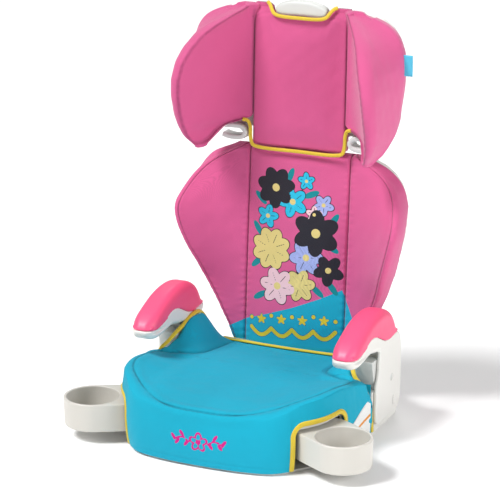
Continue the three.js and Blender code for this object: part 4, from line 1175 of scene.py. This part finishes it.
def cup_holders():
    """Trays that slide out of the base, each with a round well and rails behind it."""
    quarter = math.pi / 2
    angle = np.linspace(0, 2 * math.pi, 180, endpoint=False)
    c, s = np.cos(angle), np.sin(angle)

    def stadium(shrink):
        """Round in front and square behind, as distance along each direction."""
        r, back = CUP_R - shrink, CUP_BACK - shrink
        square = np.minimum(back / np.maximum(-c, 1e-6), r / np.maximum(np.abs(s), 1e-6))
        soft = 6.0
        corner = (np.maximum(-c, 0) ** soft / back**soft + np.abs(s) ** soft / r**soft) ** (-1 / soft)
        reach = np.where(c > 0, r, np.minimum(square, corner))
        return np.stack([c * reach, s * reach], -1)

    def circle(r):
        return np.stack([c * r, s * r], -1)

    def turned(plan):
        return plan @ np.array([OUTWARD, (-OUTWARD[1], OUTWARD[0])]) + CUP_AT

    def at(plan, z):
        return np.c_[turned(plan), np.full(len(plan), z)]
    floor, rim = CUP_LOW + 5, CUP_HIGH
    rings = [at(circle(r), floor) for r in (6, 20, 32, CUP_WELL - 7.5)]
    rings += [at(circle(CUP_WELL - 7 + 6 * math.sin(a)), floor + 6 - 6 * math.cos(a))
              for a in np.linspace(0.2, quarter, 8)]
    rings += [at(circle(CUP_WELL - 1 + t), floor + 6 + t * (rim - floor - 8))
              for t in np.linspace(0.1, 1, 8)]
    rings += [at(circle(CUP_WELL + 1.8 - 1.8 * math.cos(a)), rim - 1.8 + 1.8 * math.sin(a))
              for a in np.linspace(0.2, quarter, 6)]
    rings += [at(0.5 * circle(CUP_WELL + 1.8) + 0.5 * stadium(2.0), rim)]
    rings += [at(stadium(2.0 - 2.0 * math.sin(a)), rim - 2.0 + 2.0 * math.cos(a))
              for a in np.linspace(0, quarter, 7)]
    rings += [at(stadium(0.02 * (rim - z)), z) for z in np.linspace(rim - 6, CUP_LOW + 6, 8)]
    rings += [at(stadium(1 + 2.5 - 2.5 * math.cos(a)), CUP_LOW + 2.5 - 2.5 * math.sin(a))
              for a in np.linspace(0, quarter, 6)]
    rings += [at(stadium(30), CUP_LOW)]
    for side, sign in SIDES:
        solid = Solid().loft(rings)
        for low, high, left, right in ((32, 37, -30, 30), (32, 48, 26, 30), (32, 48, -30, -26)):
            plan = turned(box_outline(-140, -44, left, right, 40))
            solid.add(moulded(plan, low, high, 0.6, along_z, 0, 2))
        link(f"cup_tray_{side}", solid, CUP_PLASTIC, f"cup_holder_{side}",
             [f"cup_holder_{side}"], sign)


# ------------------------------------------------------------------ head support fittings
def fittings():
    """The belt hooks under the head cushion's lobes and the pull handle above its middle."""
    bend = [(133, 462), (116, 463), (102, 461.5), (95.5, 453.5), (99, 446.5), (112, 443),
            (126, 443.5), (137, 446)]
    path = spline([(x, 196, z) for x, z in bend], 60)
    for side, sign in SIDES:
        solid = ribbon(path, np.broadcast_to((0.0, -1.0, 0.0), path.shape), 8.4, 25, 28, 0.35)
        link(f"belt_hook_{side}", solid, HOOK_PLASTIC, "head_support",
             [f"belt_guide_{side}"], sign)
    half = [(0, 657), (40, 657), (45, 659), (47, 664), (46, 670), (41, 675), (31, 679),
            (16, 682.3), (0, 683)]
    outline = half + [(-x, z) for x, z in half[-2:0:-1]]
    dome = spline(outline, 160, closed=True)
    body = moulded(dome, 199, 216.4, 5.5, along_y, 1, 8)
    body.add(moulded(box_outline(-30, 30, 644, 658.5, 60), 210.2, 216.4, 1.0, along_y, 0, 3))
    obj = link("pull_handle", body, GREY_PLASTIC, "head_handle", ["head_handle"])
    fuse(obj, 1.0, 4)
    pocket = spline([(-27, 664), (27, 664), (29.5, 670), (27, 676), (-27, 676), (-29.5, 670)], 60,
                    closed=True)
    cut(obj, moulded(pocket, 205, 222, 0.5, along_y, 0, 2))


def kept_nodes():
    """CAD pieces whose shape is right: soft moulded edges and their own materials."""
    plastics = {WHITE_PLASTIC: ["seat_shell", "bottom_tray", "hinge_hook_left", "hinge_hook_right",
                                "back_shell", "back_rear_panel", "head_shell"],
                GREY_PLASTIC: ["height_rack", "head_stem"]}
    metals = ["hinge_rod", "handle_link", "lock_bolt", "handle_spring", "arm_button_spring_left",
              "arm_button_spring_right"]
    metals += [name for name in nodes if "screw" in name]
    for material, names in plastics.items():
        for name in names:
            paint(nodes[name], material)
            flat = nodes[name].modifiers.new("flat", "DECIMATE")
            flat.decimate_type = "DISSOLVE"
            flat.angle_limit = math.radians(0.5)
            soft = nodes[name].modifiers.new("soft", "BEVEL")
            soft.width = 0.7 * MM
            soft.segments = 2
            soft.limit_method = "ANGLE"
            soft.angle_limit = math.radians(35)
            soft.harden_normals = True
    for name in metals:
        paint(nodes[name], METAL)


def paint(obj, material):
    """Puts one material in all slots of a CAD piece."""
    if not obj.material_slots:
        obj.data.materials.append(material)
    for slot in obj.material_slots:
        slot.material = material


# ------------------------------------------------------------------ printed motif on the back
BLOOMS = {                      # centre x, height on the back, size, petals, turn
    "ink_night": [(-38, 283, 34, 7, 0.2), (38, 212, 40, 6, 0.5), (62, 150, 26, 5, 0.9)],
    "ink_teal": [(-6, 262, 27, 5, 0.7), (-52, 232, 20, 5, 0.1), (18, 300, 15, 5, 0.4)],
    "ink_lilac": [(22, 168, 30, 6, 0.1), (50, 262, 18, 5, 1.0)],
    "ink_cream": [(-44, 176, 36, 8, 0.4), (12, 118, 28, 6, 0.2)],
    "ink_blush": [(-30, 112, 32, 6, 0.9), (34, 244, 15, 5, 0.3)],
}


def over_blooms(shape, inks=tuple(BLOOMS)):
    """One print made of a shape drawn at each bloom of those inks."""
    spots = [spot for ink in inks for spot in BLOOMS[ink]]
    return lambda x, z: np.minimum.reduce([shape(x, z, *spot) for spot in spots])


def outline(x, z, *spot):
    return flower(x, z, *spot) - 1.1


def centre(x, z, cx, cz, size, *_):
    return disc(x, z, cx, cz, 0.2 * size)


def leaves(x, z):
    spots = [(-66, 262, 2.4), (-12, 306, 1.2), (28, 278, 0.4), (68, 236, 1.0), (66, 190, -0.6),
             (-70, 208, 2.2), (-70, 150, -2.4), (44, 112, -0.7), (-62, 92, -2.6), (70, 120, -0.9)]
    return np.minimum.reduce([oval(x, z, cx, cz, 15, 5.5, turn) for cx, cz, turn in spots])


def garland(x, z):
    """A scalloped yellow garland with a star over each dip."""
    t = np.linspace(-1, 1, 81)
    line = np.c_[78 * t, 38 + 5 * t - 13 * np.abs(np.sin(2 * math.pi * t))]
    shapes = [stroke(x, z, line, 3.4)]
    shapes += [star(x, z, cx, cz, 10) for cx, cz in ((-58, 50), (-20, 54), (19, 57), (58, 61))]
    dots = ((-78, 50), (-39, 58), (0, 61), (39, 66), (78, 62))
    shapes += [disc(x, z, cx, cz, 3.6) for cx, cz in dots]
    return np.minimum.reduce(shapes)


PRINTS = {"leaf": leaves, "outline": over_blooms(outline),
          **{ink: over_blooms(flower, [ink]) for ink in BLOOMS},
          "detail": over_blooms(veins, [ink for ink in BLOOMS if ink != "ink_night"]),
          "centre": over_blooms(centre),
          "garland_edge": lambda x, z: garland(x, z) - 1.3, "garland": garland}

BACK_CLOTH = make_fabric("back_cloth", PINK, [
    ("block", BLUE), ("leaf", (0.0, 0.25, 0.28)), ("outline", NIGHT), ("ink_teal", TEAL),
    ("ink_lilac", LILAC), ("ink_cream", CREAM), ("ink_blush", BLOSH), ("ink_night", NIGHT),
    ("detail", NIGHT), ("centre", CREAM), ("garland_edge", (0.0, 0.22, 0.30)), ("garland", YELLOW)])
PINK_CLOTH = make_fabric("pink_cloth", PINK)
SEAT_CLOTH = make_fabric("seat_cloth", BLUE, [("motif", MAGENTA)], sheen=0.07)
TAPE = make_tape("binding_tape", YELLOW)
TAG_CLOTH = make_tape("tag_cloth", (0.08, 0.55, 0.76))
LABEL_CLOTH = make_fabric("label_cloth", (0.86, 0.86, 0.84), [("band", (0.80, 0.30, 0.03))])
SOFT_TOUCH = make_plastic("soft_touch", CORAL, 0.42, 0.3)
WHITE_PLASTIC = make_plastic("white_plastic", WHITE, 0.38)
CUP_PLASTIC = make_plastic("cup_plastic", (0.57, 0.55, 0.505), 0.36)
HOOK_PLASTIC = make_plastic("hook_plastic", (0.60, 0.60, 0.58), 0.4)
GREY_PLASTIC = make_plastic("grey_plastic", GREY, 0.42)
METAL = make_metal("zinc_steel")

make_camera()
make_studio()
seat_cushion()
seat_trim()
back_cushion()
head_cushion()
head_trim()
arms()
sockets()
cup_holders()
fittings()
kept_nodes()
